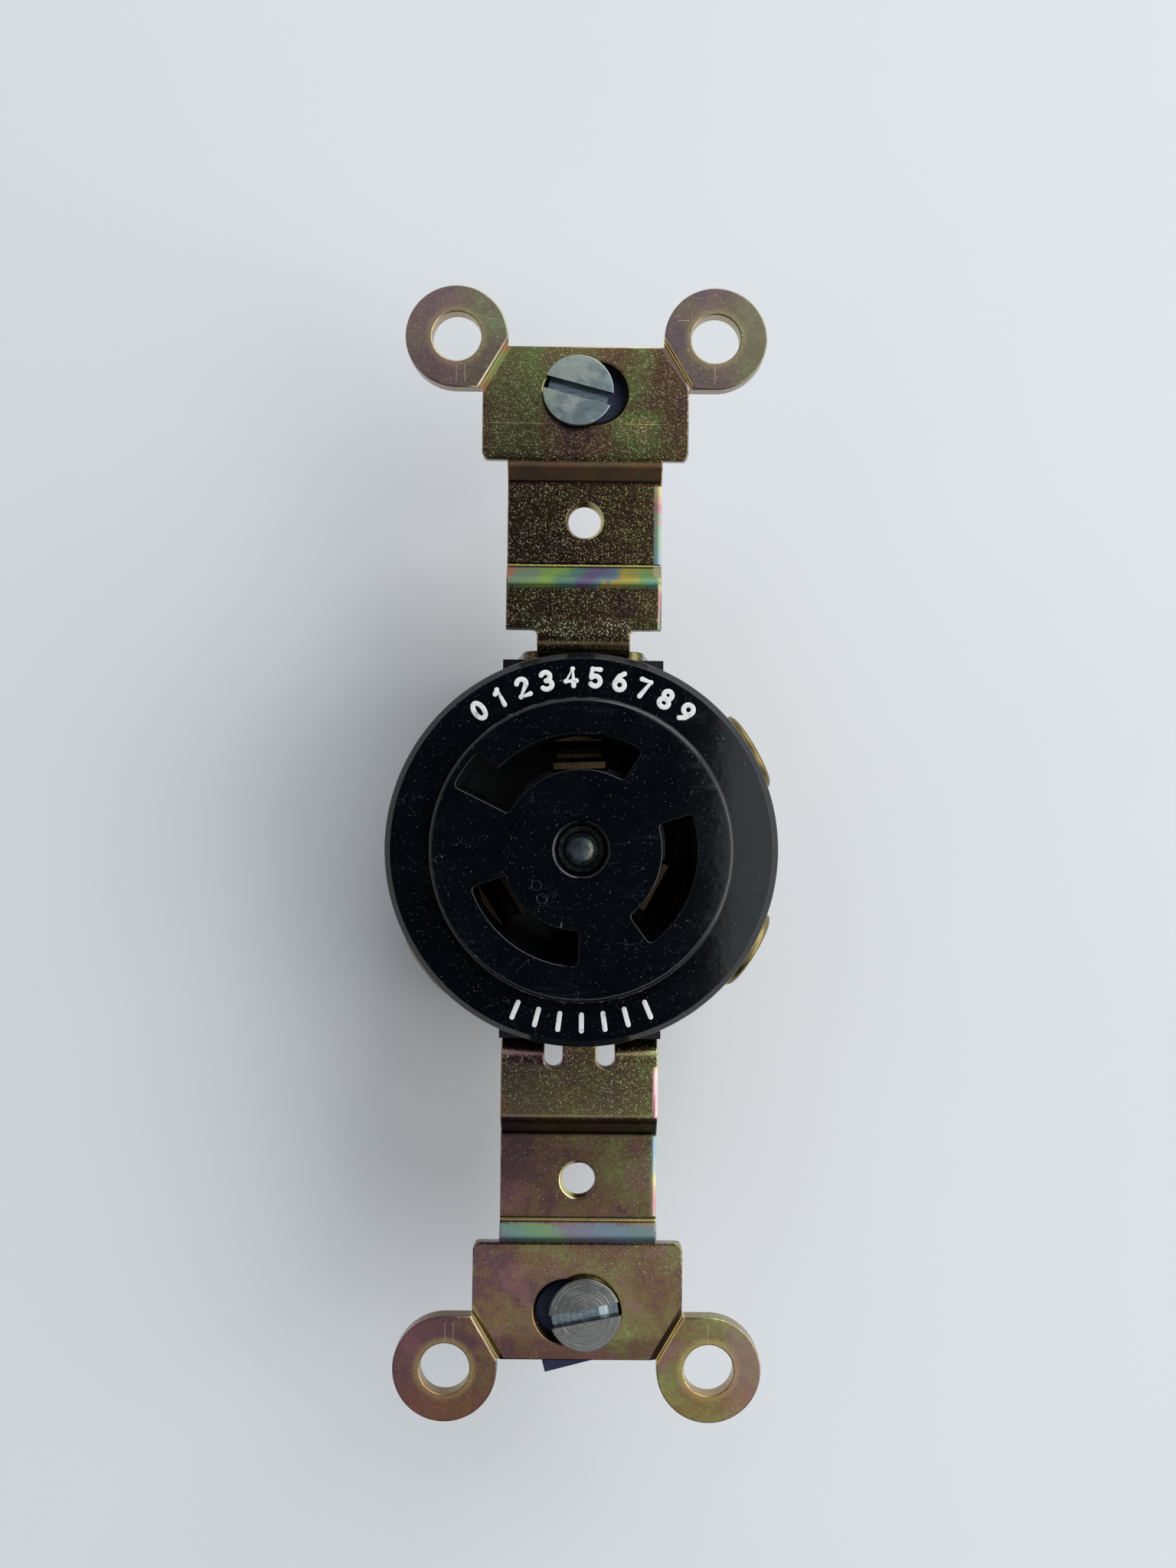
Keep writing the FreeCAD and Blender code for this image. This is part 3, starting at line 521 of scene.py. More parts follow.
class FaceSizes(bpy.types.PropertyGroup):
    disc_radius: length("Disc radius", 13.5, "Radius of the raised disc")
    rim: length("Disc edge", 0.55, "Rounding of the raised disc's edge")
    slot_edge: length("Slot edge", 0.1, "Rounding of the blade slots' edges")
    flange_chamfer: length("Flange chamfer", 0.6, "Width of the flange's sloping edge")
    numeral_height: length("Numeral height", 1.95, "Height of the numerals")
    stroke: length("Stroke width", 0.44, "Width of the painted strokes")
    numeral_radius: length("Numeral radius", 15.35, "From the face axis to the middle of the numerals")
    bars: IntProperty(name="Bars", description="Number of bars under the disc", default=7, min=0, max=15)


class ScrewSizes(bpy.types.PropertyGroup):
    pitch: length("Thread pitch", 0.794, "Distance between two crests")
    depth: length("Thread depth", 0.34, "Height of a crest over its root")
    drive_width: length("Driver slot width", 1.15, "Width of the driver slots")
    turned_edge: length("Turned edge", 0.08, "Rounding of a mounting screw head's rim")


class Finishes(bpy.types.PropertyGroup):
    plum: tint("Strap plum", (0.095, 0.05, 0.052), "Darkest, purple tone of the plated strap")
    brown: tint("Strap brown", (0.135, 0.082, 0.044), "Brown tone of the plated strap")
    olive: tint("Strap olive", (0.15, 0.128, 0.052), "Olive tone of the plated strap")
    lime: tint("Strap yellow-green", (0.17, 0.205, 0.07), "Yellow-green tone of the plated strap")
    gold: tint("Strap gold", (0.40, 0.29, 0.11), "Golden tone of the plated strap")
    face: tint("Face", (0.0012, 0.0022, 0.0034), "Moulded face")
    housing: tint("Housing", (0.004, 0.0045, 0.006), "Moulded housing and cover")
    zinc: tint("Pale zinc", (0.47, 0.53, 0.48), "Rivet, washer and upper mounting screw")
    steel: tint("Steel", (0.28, 0.275, 0.26), "Lower mounting screw")
    brass: tint("Brass", (0.28, 0.215, 0.09), "Terminal screws and plates")
    bronze: tint("Bronze", (0.105, 0.066, 0.042), "Contacts")
    fibre: tint("Fibre", (0.012, 0.016, 0.05), "Screw retainers")
    paint: tint("Paint", (0.8, 0.81, 0.8), "Numerals and bars")


class StageSizes(bpy.types.PropertyGroup):
    floor: tint("Floor", (0.8, 0.81, 0.83), "Plain pale floor")
    world: FloatProperty(name="World", description="Strength of the even light", default=0.95, min=0)
    lamps: FloatProperty(name="Lamps", description="Share of the two soft lamps", default=1.0, min=0)
    lens: FloatProperty(name="Lens", description="Focal length on a 36 mm sensor", default=27.26, min=1,
                        unit="CAMERA")


class Millimetres:
    """A property group's values, its lengths in millimetres."""

    def __init__(self, group):
        for name, prop in group.bl_rna.properties.items():
            if name not in ("rna_type", "name"):
                value = getattr(group, name)
                setattr(self, name, value / MM if prop.unit == "LENGTH" else value)


# ---- Finishes

def strap_zinc(c):
    """Yellow zinc chromate on sandy steel: plum to gold tones, bright grains, coloured bands at the bends,
    and painted light and shade by region, at the bends, along the edges and in the score lines.
    """
    f = Finish("strap_zinc")
    s = Millimetres(bpy.context.scene.receptacle_strap)
    x, y, z = f.x, f.y, f.z
    wide, high = abs(x), abs(y)
    drift = f.noise(0.12, 1.5, 0.5, (3, 8, 0))
    patch = f.noise(0.5, 3.0, 0.6, (11, 2, 5), bend=0.6)
    sand = f.noise(2.4, 3.0, 0.65)
    upper, plates, right = f.span(y, -1.0, 1.0), f.span(high, 35.0, 36.5), x / 9.5
    along = Vector((EAR_X - EAR_RADIUS - s.plate_half_width, s.end_y - EAR_Y + EAR_RADIUS)).normalized()
    reach = (wide - s.plate_half_width) * along.y - (high - EAR_Y + EAR_RADIUS) * along.x
    reach = reach - (upper * (GROOVE_SHIFT[1] - GROOVE_SHIFT[-1]) + GROOVE_SHIFT[-1])
    ears = f.span(reach, -0.1, 0.15) * plates
    lower, band = 1 - upper, 1 - ears
    outer_slope, inner_slope = f.band(y, 33.75, 35.3, 0.15), f.band(y, -26.1, -24.5, 0.25)
    bends = f.bands(y, (23.7, 25.85, 0.1), (-35.45, -33.95, 0.1)).least(1.0)
    grain = 1 - (bends + outer_slope + inner_slope).least(1.0) * 0.92
    neck = f.band(y, 19.4, 20.7, 0.3) * f.span(wide, 4.5, 4.2)
    pad, middle = f.band(y, 26.2, 33.4, 0.1), f.band(y, 20.5, 23.6, 0.4)
    beside = f.band(high, 19.5, 24.2, 0.3)

    # Tones of the chromate and their places, then brightness levels set region by region,
    # which are painted light and shade.
    screw_sides = f.span(f.noise(0.22, 1.0, 0.5, (9, 4, 0)) * 3.0 - abs(wide - 5.0) * 0.35, 0.5, 1.5)
    tone = (drift - 0.5) * 0.7 + (patch - 0.5) * 0.5 + (sand - 0.5) * 0.3 + 0.42
    tone = tone + upper * plates * (screw_sides * 0.16 - 0.04) + lower * (right * 0.10 - 0.05)
    colour = f.ramp(tone, (0.22, c.plum), (0.36, c.brown), (0.48, c.olive), (0.60, c.lime), (0.80, c.gold))
    pink = f.span(f.noise(0.3, 2.0, 0.5, (20, 4, 0)), 0.53, 0.66) * (1 - upper * band * 0.7)
    pink = pink * (1 - beside * 0.7) * 0.5 + ears * f.span(x, -10.5, -14.0) * 0.35
    from_hole = ((wide - EAR_X) * (wide - EAR_X) + (high - EAR_Y) * (high - EAR_Y)).root()
    rust = f.band(y, -24.2, -22.0, 0.5) * f.span(x - (drift - 0.5) * 8, -4.5, -8.0)
    colour = f.tinted(
        colour,
        (pink.least(0.7), (0.19, 0.085, 0.09)),
        (f.span(from_hole, 3.1, 2.4) * 0.45, c.gold),
        (upper * ears * 0.3, (0.15, 0.15, 0.165)),
        (upper * f.span(x, 12.6, 14.6) * ears * 0.3, (0.17, 0.18, 0.09)),
        (lower * f.span(x, 12.4, 14.4) * ears * 0.45, (0.22, 0.14, 0.13)),
        (lower * f.span(y, -47.5, -49.5) * ears * 0.35, (0.19, 0.07, 0.03)),
        (lower * f.span(y, -43.0, -45.0) * band * 0.4, (0.11, 0.04, 0.04)),
        (upper * band * f.band(x, -8.6, -4.2, 0.9) * plates * 0.45, (0.13, 0.17, 0.06)),
        ((pad + middle * 0.8).least(1.0) * 0.5, (0.10, 0.062, 0.046)),
        (beside * lower * 0.3, (0.13, 0.15, 0.05)),
        (rust * 0.6, (0.28, 0.10, 0.03)))
    # Painted light and shade: lighter plates, ears, pads and neck, varying left to right; darker lower end.
    level = 0.8 + plates * (0.42 - right * 0.12) + plates * upper * f.span(wide, 5.0, 1.0) * 0.35
    level = level + ears * upper * (0.66 - right * 0.12) + pad * 0.5 + middle * 0.8 + neck
    level = level + lower * (0.5 + f.span(high, 27.0, 25.0) * 0.7 + ears * (right * 0.2 + 0.05))
    level = level + upper * plates * band * (0.5 - right * 0.25) - f.span(y, -43.4, -44.6) * band * 0.4
    colour = f.mix(1.0, colour, level.most(0.1), "MULTIPLY")

    # Raised grains, pale specks and pits.
    grit = f.specks(3.1, 0.085, 0.75, (5, 1, 9)) + f.specks(4.3, 0.065, 0.7, (1, 5, 3)) * 0.8
    grit = grit + f.specks(5.7, 0.05, 0.7, (4, 2, 6)) * 0.6
    sandy = f.span(high, 24.6, 24.2) * 0.5 + f.band(high, 35.9, 38.6, 0.6) * 0.6
    sandy = sandy + f.span(x, 1.0, 5.0) * (1 - plates) * 0.4
    raised = (grit * f.span(patch + sand, 0.6, 0.95)).least(1.0) * grain * (1 - ears * 0.7)
    raised = raised * (0.3 + upper * 0.6 - upper * plates * 0.25 + neck * 0.2 + lower * sandy).least(1.0)
    lit = f.span(x * 0.12 + y * 0.05 * (1 - plates) + (drift - 0.5) * 2, 0.6, 2.2)
    bright = f.mix(neck, f.mix(lit, (0.50, 0.47, 0.38), (0.46, 0.47, 0.12)), (0.74, 0.86, 0.72))
    pale = (f.specks(2.4, 0.06, 0.25, (2, 2, 2)) + f.specks(3.4, 0.045, 0.3, (6, 1, 2))).least(1.0) * grain
    pit = f.span(f.noise(4.2, 3.0, 0.65, (7, 7, 1)), 0.42, 0.30)
    orange = f.span(f.noise(0.5, 3.0, 0.6, (1, 6, 0)), 0.35, 0.7)

    # Interference colours along the bends, with painted shade in dark creases and painted highlights in pale
    # lines beside them.
    lift = f.span(y, 23.3, 25.9) * upper + f.span(y, -33.9, -35.5) * lower
    swirl = right * 0.5 + 0.5 + (patch - 0.5) * 0.3 - (lift - 0.5) * 0.1
    vivid = f.ramp(swirl, (0.06, (0.36, 0.15, 0.10)), (0.16, (0.16, 0.22, 0.15)), (0.32, (0.20, 0.30, 0.07)),
                   (0.44, (0.09, 0.18, 0.14)), (0.52, (0.12, 0.09, 0.17)), (0.6, (0.10, 0.15, 0.19)),
                   (0.68, (0.32, 0.24, 0.05)), (0.78, (0.15, 0.24, 0.09)), (0.88, (0.10, 0.22, 0.16)),
                   (0.96, (0.30, 0.14, 0.13)))
    soft = f.ramp(swirl, (0.06, (0.17, 0.15, 0.19)), (0.22, (0.12, 0.22, 0.19)), (0.36, (0.14, 0.23, 0.12)),
                  (0.5, (0.15, 0.14, 0.18)), (0.64, (0.11, 0.15, 0.19)), (0.8, (0.09, 0.14, 0.14)),
                  (0.95, (0.13, 0.12, 0.17)))
    ragged = f.span(lift + (sand - 0.5) * 0.5 + (patch - 0.5) * 0.2, -0.04, 0.12)
    crease_shade = f.bands(y, (25.72, 25.92, 0.05), (26.12, 26.26, 0.05), (-33.95, -33.8, 0.04),
                     (-33.6, -33.45, 0.05), (33.6, 33.85, 0.08), (-26.1, -25.7, 0.2)).least(1.0)
    line = f.bands(y, (25.94, 26.1, 0.04), (-33.77, -33.63, 0.04)).least(1.0)

    # Coined edge in pale interference colours, partly painted reflection; score lines with painted light and
    # shade; scribed lines; painted highlights along the edges; and a bright half-ring at each tapped hole.
    brink = s.coin_width * (0.65 + upper * 0.35) * (1 - f.span(high, 25.0, 24.6) * upper * 0.5)
    strip = f.span(x - (s.half_width - brink), -0.04, 0.06) * f.span(high, 33.5, 33.3)
    strip = strip * f.span(high, 19.6, 20.2) * f.span(z, -3.0, -2.0)
    # Pale interference colours of the coined edge, lighter than the band beside it: partly painted reflection.
    pastel = f.ramp((y * 0.11 + patch * 0.6).fraction(), (0.0, (0.36, 0.34, 0.17)), (0.25, (0.16, 0.23, 0.30)),
                    (0.5, (0.17, 0.28, 0.19)), (0.75, (0.32, 0.15, 0.18)), (1.0, (0.36, 0.34, 0.17)))
    pastel = f.mix(lower * f.band(high, 20.0, 24.4, 0.3) * 0.7, pastel, (0.75, 0.32, 0.40))
    scored, fill = score_lines(f, s, reach, upper, plates)
    scribe = (f.band(wide, 11.81, 11.88, 0.02) + f.band(x, -11.12, -11.05, 0.02)) * f.band(high, 42.6, 44.3, 0.08)
    scribe = scribe + f.band(y, 48.46, 48.53, 0.02) * f.band(wide, 8.4, 9.5, 0.05)
    cross = f.band(high, 38.83, 38.89, 0.02) * f.band(wide, 3.6, 9.2, 0.3) * f.span(patch, 0.40, 0.5)
    scribe = (scribe * ears + cross * band * 0.7).least(1.0)
    sheared = f.span(wide, 9.1, 9.4) * f.span(z, -0.05, -0.25)
    limit = s.half_width + (s.plate_half_width - s.half_width) * plates
    # Painted highlight: a pale line just inside the strap's edges, off the ears and the coined edge.
    rim = f.band(wide, limit - 0.13, limit - 0.05, 0.03) * band * (1 - strip) * f.span(sand, 0.4, 0.6)
    shoulder = f.span(wide, 4.3, 4.6) * f.band(high, 16.5, 19.4, 0.1) * f.span(z, -4.5, -3.0) * upper
    glint = f.ramp(patch + right * 0.15, (0.3, (0.22, 0.32, 0.24)), (0.5, (0.40, 0.26, 0.26)),
                   (0.7, (0.5, 0.3, 0.2)))
    from_tap = (x * x + (high - COVER_HOLE_Y) * (high - COVER_HOLE_Y)).root()
    worn = f.band(from_tap, 1.2, COVER_HOLES["hole_r_mm"] + 0.14, 0.04) * f.span(x * (upper * 2 - 1), 0.1, 0.7)
    colour = f.tinted(
        colour,
        (raised * 0.7, bright),
        (pale * 0.6, (0.75, 0.78, 0.62)),
        (pit * 0.4, (0.03, 0.02, 0.018)),
        (outer_slope * 0.6, f.mix(orange * 0.5, (0.24, 0.16, 0.12), (0.50, 0.22, 0.08))),
        (bends * ragged * 0.95, f.mix(upper, soft, vivid)),
        # Painted shade in the creases, painted highlights in the pale lines beside them.
        (crease_shade * 0.85, (0.008, 0.007, 0.007)),
        (line * 0.85, (0.55, 0.47, 0.12)),
        (f.band(y, 33.45, 33.58, 0.05) * 0.8, (0.20, 0.05, 0.04)),
        (strip * 0.8, pastel),
        (scored, fill),
        (scribe * 0.6, (0.55, 0.45, 0.34)),
        (sheared * 0.4, (0.5, 0.42, 0.3)),
        (rim * 0.5, (0.52, 0.46, 0.36)),
        (shoulder * 0.85, glint),
        (worn * 0.8, (0.95, 0.85, 0.45)))
    smooth = 1 - (strip + scored).least(1.0) * 0.85
    height = (raised * 0.8 + pale * 0.3 + sand * 0.35) * smooth * (0.1 + grain * 0.9) - scribe * 0.5
    rough = 0.2 + (sand - 0.5) * 0.1 + pit * 0.1 + ears * 0.06 + bends * 0.08 + outer_slope * 0.18 + worn * 0.2
    return f.surface(height, 0.016, 0.75, Base_Color=colour, Metallic=1.0, Roughness=rough)


def score_lines(f, s, reach, upper, plates):
    """Mask and colour of the score lines between the ears and the end plates. Their colours are painted
    light and shade: bright plate-side flanks on the left-hand lines and dark ones on the right, bright
    ear-side walls as painted highlights, and a dark line of painted shade along the bottom.
    """
    wide, high = abs(f.x), abs(f.y)
    foot, edge = s.groove_width * GROOVE_FOOT, s.groove_width * GROOVE_EDGE
    left = f.span(f.x, 1.0, -1.0)
    far = foot + 0.3 - left * 0.11
    scored = f.span(reach, -edge - 0.03, -edge + 0.03) * f.span(reach, far + 0.02, far - 0.02)
    scored = scored * plates * f.band(wide, 6.9, 9.8, 0.1)
    sheen = f.ramp((high - 42.0) / 4.0, (0.0, (0.62, 0.26, 0.10)), (0.3, (0.50, 0.46, 0.15)),
                   (0.7, (0.44, 0.50, 0.18)), (1.0, (0.66, 0.30, 0.14)))
    sheen = f.mix(1 - upper, sheen, (0.60, 0.42, 0.14))
    # Painted light and shade: the flank bright on the left, dark brown on the right; the wall a painted highlight.
    flank = f.mix(left, f.mix(upper, (0.10, 0.06, 0.035), (0.05, 0.035, 0.026)), sheen)
    wall = f.mix(left, (0.95, 0.68, 0.30), (0.85, 0.80, 0.68))
    # Painted shade: a dark line along the bottom, stronger on the left.
    gap = f.band(reach, foot, foot + 0.1, 0.02) * (0.3 + left * 0.7)
    fill = f.mix(f.span(reach, foot - 0.02, foot + 0.02), flank, wall)
    return scored, f.mix(gap * 0.9, fill, (0.02, 0.018, 0.016))


def dusty_moulding(name, colour, rough, dust, grain_relief):
    """Dark moulding with fine scratches, dust specks and short fibres."""
    f = Finish(name)
    out = (f.x * f.x + f.y * f.y).root()
    cloud = f.noise(0.25, 3.0, 0.6, (4, 1, 0))
    orange_peel = f.noise(1.1, 2.0, 0.5)
    hair = f.noise(0.55, 1.0, 0.4, (9, 3, 0), bend=0.8)
    scratch = f.span(abs(hair - 0.5), 0.0020, 0.0006) * f.span(f.noise(0.5, 2.0, 0.5, (2, 6, 3)), 0.54, 0.62)
    rub = f.noise(1.6, 3.0, 0.6, (0, 5, 0), stretch=(0.12, 1.6, 1.0), turn=0.9)
    worn = f.band(out, 12.3, 13.4, 0.5) + f.band(out, 5.8, 6.9, 0.4) * f.span(f.x, 2.0, 5.0)
    rubbed = f.span(rub, 0.55, 0.75) * f.span(cloud, 0.45, 0.62)
    rubbed = (rubbed + worn * f.span(rub, 0.42, 0.7) * f.span(cloud, 0.4, 0.58)).least(1.0)
    specks = f.specks(1.7, 0.034, dust) + f.specks(3.1, 0.022, dust, (3, 1, 7))
    specks = specks + f.specks(2.3, 0.026, dust, (5, 2, 4))
    specks = (specks + f.specks(0.8, 0.045, dust * 0.2, (8, 8, 2))).least(1.0)
    fibre = f.span(abs(f.noise(0.8, 0.5, 0.4, (30, 3, 1), bend=1.0) - 0.5), 0.0024, 0.0008)
    fibre = fibre * f.span(f.noise(1.3, 1.0, 0.4, (0, 0, 6)), 0.69, 0.71)
    toned = f.tinted(
        colour,
        (f.span(cloud, 0.4, 0.7) * 0.5, shade(colour, 1.7)),
        (rubbed * 0.10, (0.035, 0.037, 0.042)),
        (scratch * 0.25, (0.12, 0.12, 0.13)),
        ((specks + fibre).least(1.0) * 0.7, (0.50, 0.50, 0.47)))
    roughness = rough + (cloud - 0.5) * 0.06 + rubbed * 0.06 + (specks + scratch).least(1.0) * 0.3
    return f.surface(orange_peel + specks * 0.6 - scratch * 0.5, grain_relief, 0.5, Base_Color=toned,
                     Roughness=roughness, IOR=1.53)


def face_black(c):
    return dusty_moulding("face_black", c.face, 0.08, 0.75, 0.006)


def body_black(c):
    return dusty_moulding("body_black", c.housing, 0.25, 0.25, 0.015)


def turned_metal(name, end, colour, dull_and_shaded, rings, warm, low, tone, wall, mark, painted_light_tilt):
    """Plated head of the mounting screw at one end, with rings about its centre, tarnish and small nicks.
    Its duller tone is taken where its haze is low and, as painted shade, towards one side of the head; low is
    the level of the driver slot's floor, tone and wall are painted shade on that floor and on the slot's walls,
    and mark is the angle of a painted reflection on the slot's floor, in degrees about the head."""
    f = Finish(name)
    dx, dy = [f_axis - centre / MM for f_axis, centre in zip((f.x, f.y), joint(f"{end}_screw_turn")["pos_m"])]
    out = (dx * dx + dy * dy).root()
    wander = f.noise(0.9, 2.0, 0.6)
    ring = ((out + wander * 0.25) * 11.0).sine() * 0.5 + 0.5
    cutter = f.span(((out + wander * 0.12) * 21.0).sine(), 0.5, 0.95)
    cutter = cutter * f.span(f.noise(0.7, 2.0, 0.5, (4, 4, 4)), 0.46, 0.6)
    fine = f.noise(3.0, 3.0, 0.65, (2, 2, 2))
    haze = f.noise(0.6, 3.0, 0.6, (5, 9, 1))
    lengthwise = f.noise(2.2, 3.0, 0.7, (1, 1, 1), stretch=(0.25, 2.2, 1.0), turn=0.25)
    # The duller tone where the haze is low and, as painted light and shade, towards one side of the head.
    toned = f.tinted(
        f.mix(f.span(haze + (dy - dx) * painted_light_tilt, 0.3, 0.62), dull_and_shaded, colour),
        (f.span(fine, 0.58, 0.72) * 0.4, warm),
        (cutter * rings * 0.55, shade(colour, 2.4)),
        (f.span(f.noise(5.0, 2.0, 0.6, (0, 3, 3)), 0.38, 0.28) * 0.6, shade(colour, 0.25)),
        (f.specks(1.3, 0.1, 0.25, (6, 2, 2)) * 0.5, shade(colour, 2.0)))
    # Painted shade in the driver slot: dark walls and a bluish floor with darker lengthwise streaks.
    inside = f.span(out, 3.2, 3.12) * f.band(f.z, low - 0.2, 0.7, 0.03)
    # Painted reflection: a pale patch on the slot's floor at the mark angle, only where that angle is positive.
    along = dx * cos(radians(mark)) + dy * sin(radians(mark))
    painted_reflection = f.band(along, 1.35, 2.15, 0.06) * 0.85 * (mark > 0)
    bottom = f.mix(f.span(lengthwise, 0.35, 0.7), shade(tone, 0.55), tone)
    bottom = f.mix(painted_reflection, bottom, (0.78, 0.88, 0.90))
    toned = f.mix(inside, toned, f.mix(f.span(f.z, low + 0.08, low + 0.03), wall, bottom))
    height = ring * rings + cutter * rings * 0.6 + fine * 0.5 + lengthwise * (1 - rings) * 0.6
    return f.surface(height, 0.012, 0.7, Base_Color=toned, Metallic=1.0,
                     Roughness=0.3 + (haze - 0.5) * 0.2 + ring * rings * 0.06)


def screw_zinc(c):
    """Upper mounting screw: bright zinc, painted shade towards its lower right, painted blue shade in its slot."""
    return turned_metal("screw_zinc", "upper", c.zinc, (0.27, 0.34, 0.37), 0.1, (0.42, 0.47, 0.42), 0.05,
                        (0.26, 0.34, 0.40), (0.05, 0.07, 0.10), -14.6, 0.06)


def screw_steel(c):
    """Lower mounting screw: worn steel with the cutter's rings, painted shade towards its upper left, painted
    shade in its slot and a painted reflection on the slot's floor.
    """
    return turned_metal("screw_steel", "lower", c.steel, shade(c.steel, 0.6), 1.0, (0.36, 0.32, 0.27), 0.3,
                        (0.30, 0.36, 0.40), (0.10, 0.12, 0.14), 11.3, -0.05)


def rivet_zinc(c):
    """Centre rivet and washer: painted shade on the dome, collar and washer at the bottom of the well, with a
    painted highlight in a crescent on the dome's right; plain zinc behind.
    """
    f = Finish("rivet_zinc")
    out = (f.x * f.x + f.y * f.y).root()
    haze = f.noise(1.1, 3.0, 0.6, (5, 9, 1))
    fine = f.noise(4.0, 3.0, 0.65, (2, 2, 2))
    # Painted shade: the dome at the bottom of the well is dark, a little lighter where the haze is high.
    dome = f.mix(f.span(haze, 0.35, 0.65), (0.05, 0.07, 0.085), (0.12, 0.15, 0.16))
    # Painted highlight: a pale crescent on the right of the dome.
    crescent_highlight = f.span(f.x + f.y * -0.15, 0.25, 0.9) * f.band(out, 0.75, 1.25, 0.12) * f.span(fine, 0.36, 0.54)
    # Painted shade: the washer almost black.
    washer = f.mix(f.span(fine + haze, 0.85, 1.15), (0.012, 0.015, 0.015), (0.04, 0.048, 0.042))
    toned = f.tinted(
        dome,
        (crescent_highlight * 0.85, (0.36, 0.37, 0.26)),
        (f.span(out, 1.3, 1.38), washer),
        # Painted shade: a darker ring on the collar.
        (f.band(out, 1.3, 1.62, 0.06) * 0.6, (0.012, 0.015, 0.018)),
        (f.span(f.z, 0.0, -0.5), f.mix(f.span(haze, 0.35, 0.7), shade(c.zinc, 0.7), c.zinc)))
    return f.surface(fine + haze, 0.01, 0.6, Base_Color=toned, Metallic=1.0, Roughness=0.4 + (haze - 0.5) * 0.2)


def rolled_metal(name, colour, tarnish, rough, upper=None):
    """Rolled sheet or turned stock with fine lengthwise marks and brown tarnish; upper is the tone towards
    the necked end."""
    f = Finish(name)
    cloud = f.noise(0.35, 3.0, 0.6, (1, 4, 2))
    stain = f.noise(1.1, 4.0, 0.65, (8, 0, 3))
    drawn = f.noise(1.4, 2.0, 0.6, stretch=(3.0, 3.0, 0.2))
    toned = f.tinted(
        colour,
        (f.span(cloud, 0.35, 0.7) * 0.7, shade(colour, 0.6)),
        (f.span(f.y, 4.0, 7.0) * 0.8 * bool(upper), upper or colour),
        (f.span(stain, 0.5, 0.72) * 0.7, tarnish),
        (f.specks(1.6, 0.07, 0.3) * 0.6, shade(colour, 1.8)))
    return f.surface(drawn + stain * 0.5, 0.012, 0.6, Base_Color=toned, Metallic=1.0,
                     Roughness=rough + (stain - 0.5) * 0.25)


def contact_copper(c):
    return rolled_metal("contact_copper", c.bronze, (0.07, 0.04, 0.028), 0.26, (0.34, 0.24, 0.11))


def terminal_brass(c):
    return rolled_metal("terminal_brass", c.brass, (0.3, 0.18, 0.06), 0.3)


def screw_brass(c):
    return rolled_metal("screw_brass", shade(c.brass, 0.92), (0.26, 0.18, 0.06), 0.33)


def retainer_fibre(c):
    """Vulcanised fibre: matt, with a faint crossed grain and pale specks."""
    f = Finish("retainer_fibre")
    along = f.noise(2.2, 3.0, 0.6, stretch=(0.25, 2.4, 1.0), turn=0.2)
    across = f.noise(2.2, 3.0, 0.6, (4, 4, 0), stretch=(2.4, 0.25, 1.0), turn=0.2)
    toned = f.tinted(
        c.fibre,
        (f.span(along, 0.4, 0.75), shade(c.fibre, 2.2)),
        (f.span(across, 0.55, 0.75) * 0.5, (0.05, 0.055, 0.10)),
        (f.specks(2.0, 0.06, 0.2) * 0.5, (0.3, 0.3, 0.33)))
    return f.surface(along + across, 0.03, 0.8, Base_Color=toned, Roughness=0.62 + (along - 0.5) * 0.2)


def marking_paint(c):
    """White filling of the moulded marks, thin and grey in places."""
    f = Finish("marking_paint")
    worn = f.span(f.noise(1.5, 3.0, 0.65, (3, 3, 1)), 0.56, 0.72)
    pit = f.specks(2.4, 0.07, 0.35)
    toned = f.tinted(c.paint, (worn * 0.75, (0.30, 0.31, 0.33)), (pit * 0.7, (0.05, 0.05, 0.06)))
    return f.surface(worn + pit, 0.02, 0.6, Base_Color=toned, Roughness=0.5 + worn * 0.2)


FINISHES = (strap_zinc, face_black, body_black, rivet_zinc, screw_zinc, screw_steel, contact_copper,
            terminal_brass, screw_brass, retainer_fibre, marking_paint)


def finish(name):
    """The material of that name, made when it is first asked for."""
    maker = next(m for m in FINISHES if m.__name__ == name)
    return bpy.data.materials.get(name + "_finish") or maker(bpy.context.scene.receptacle_finishes)


# ---- Strap

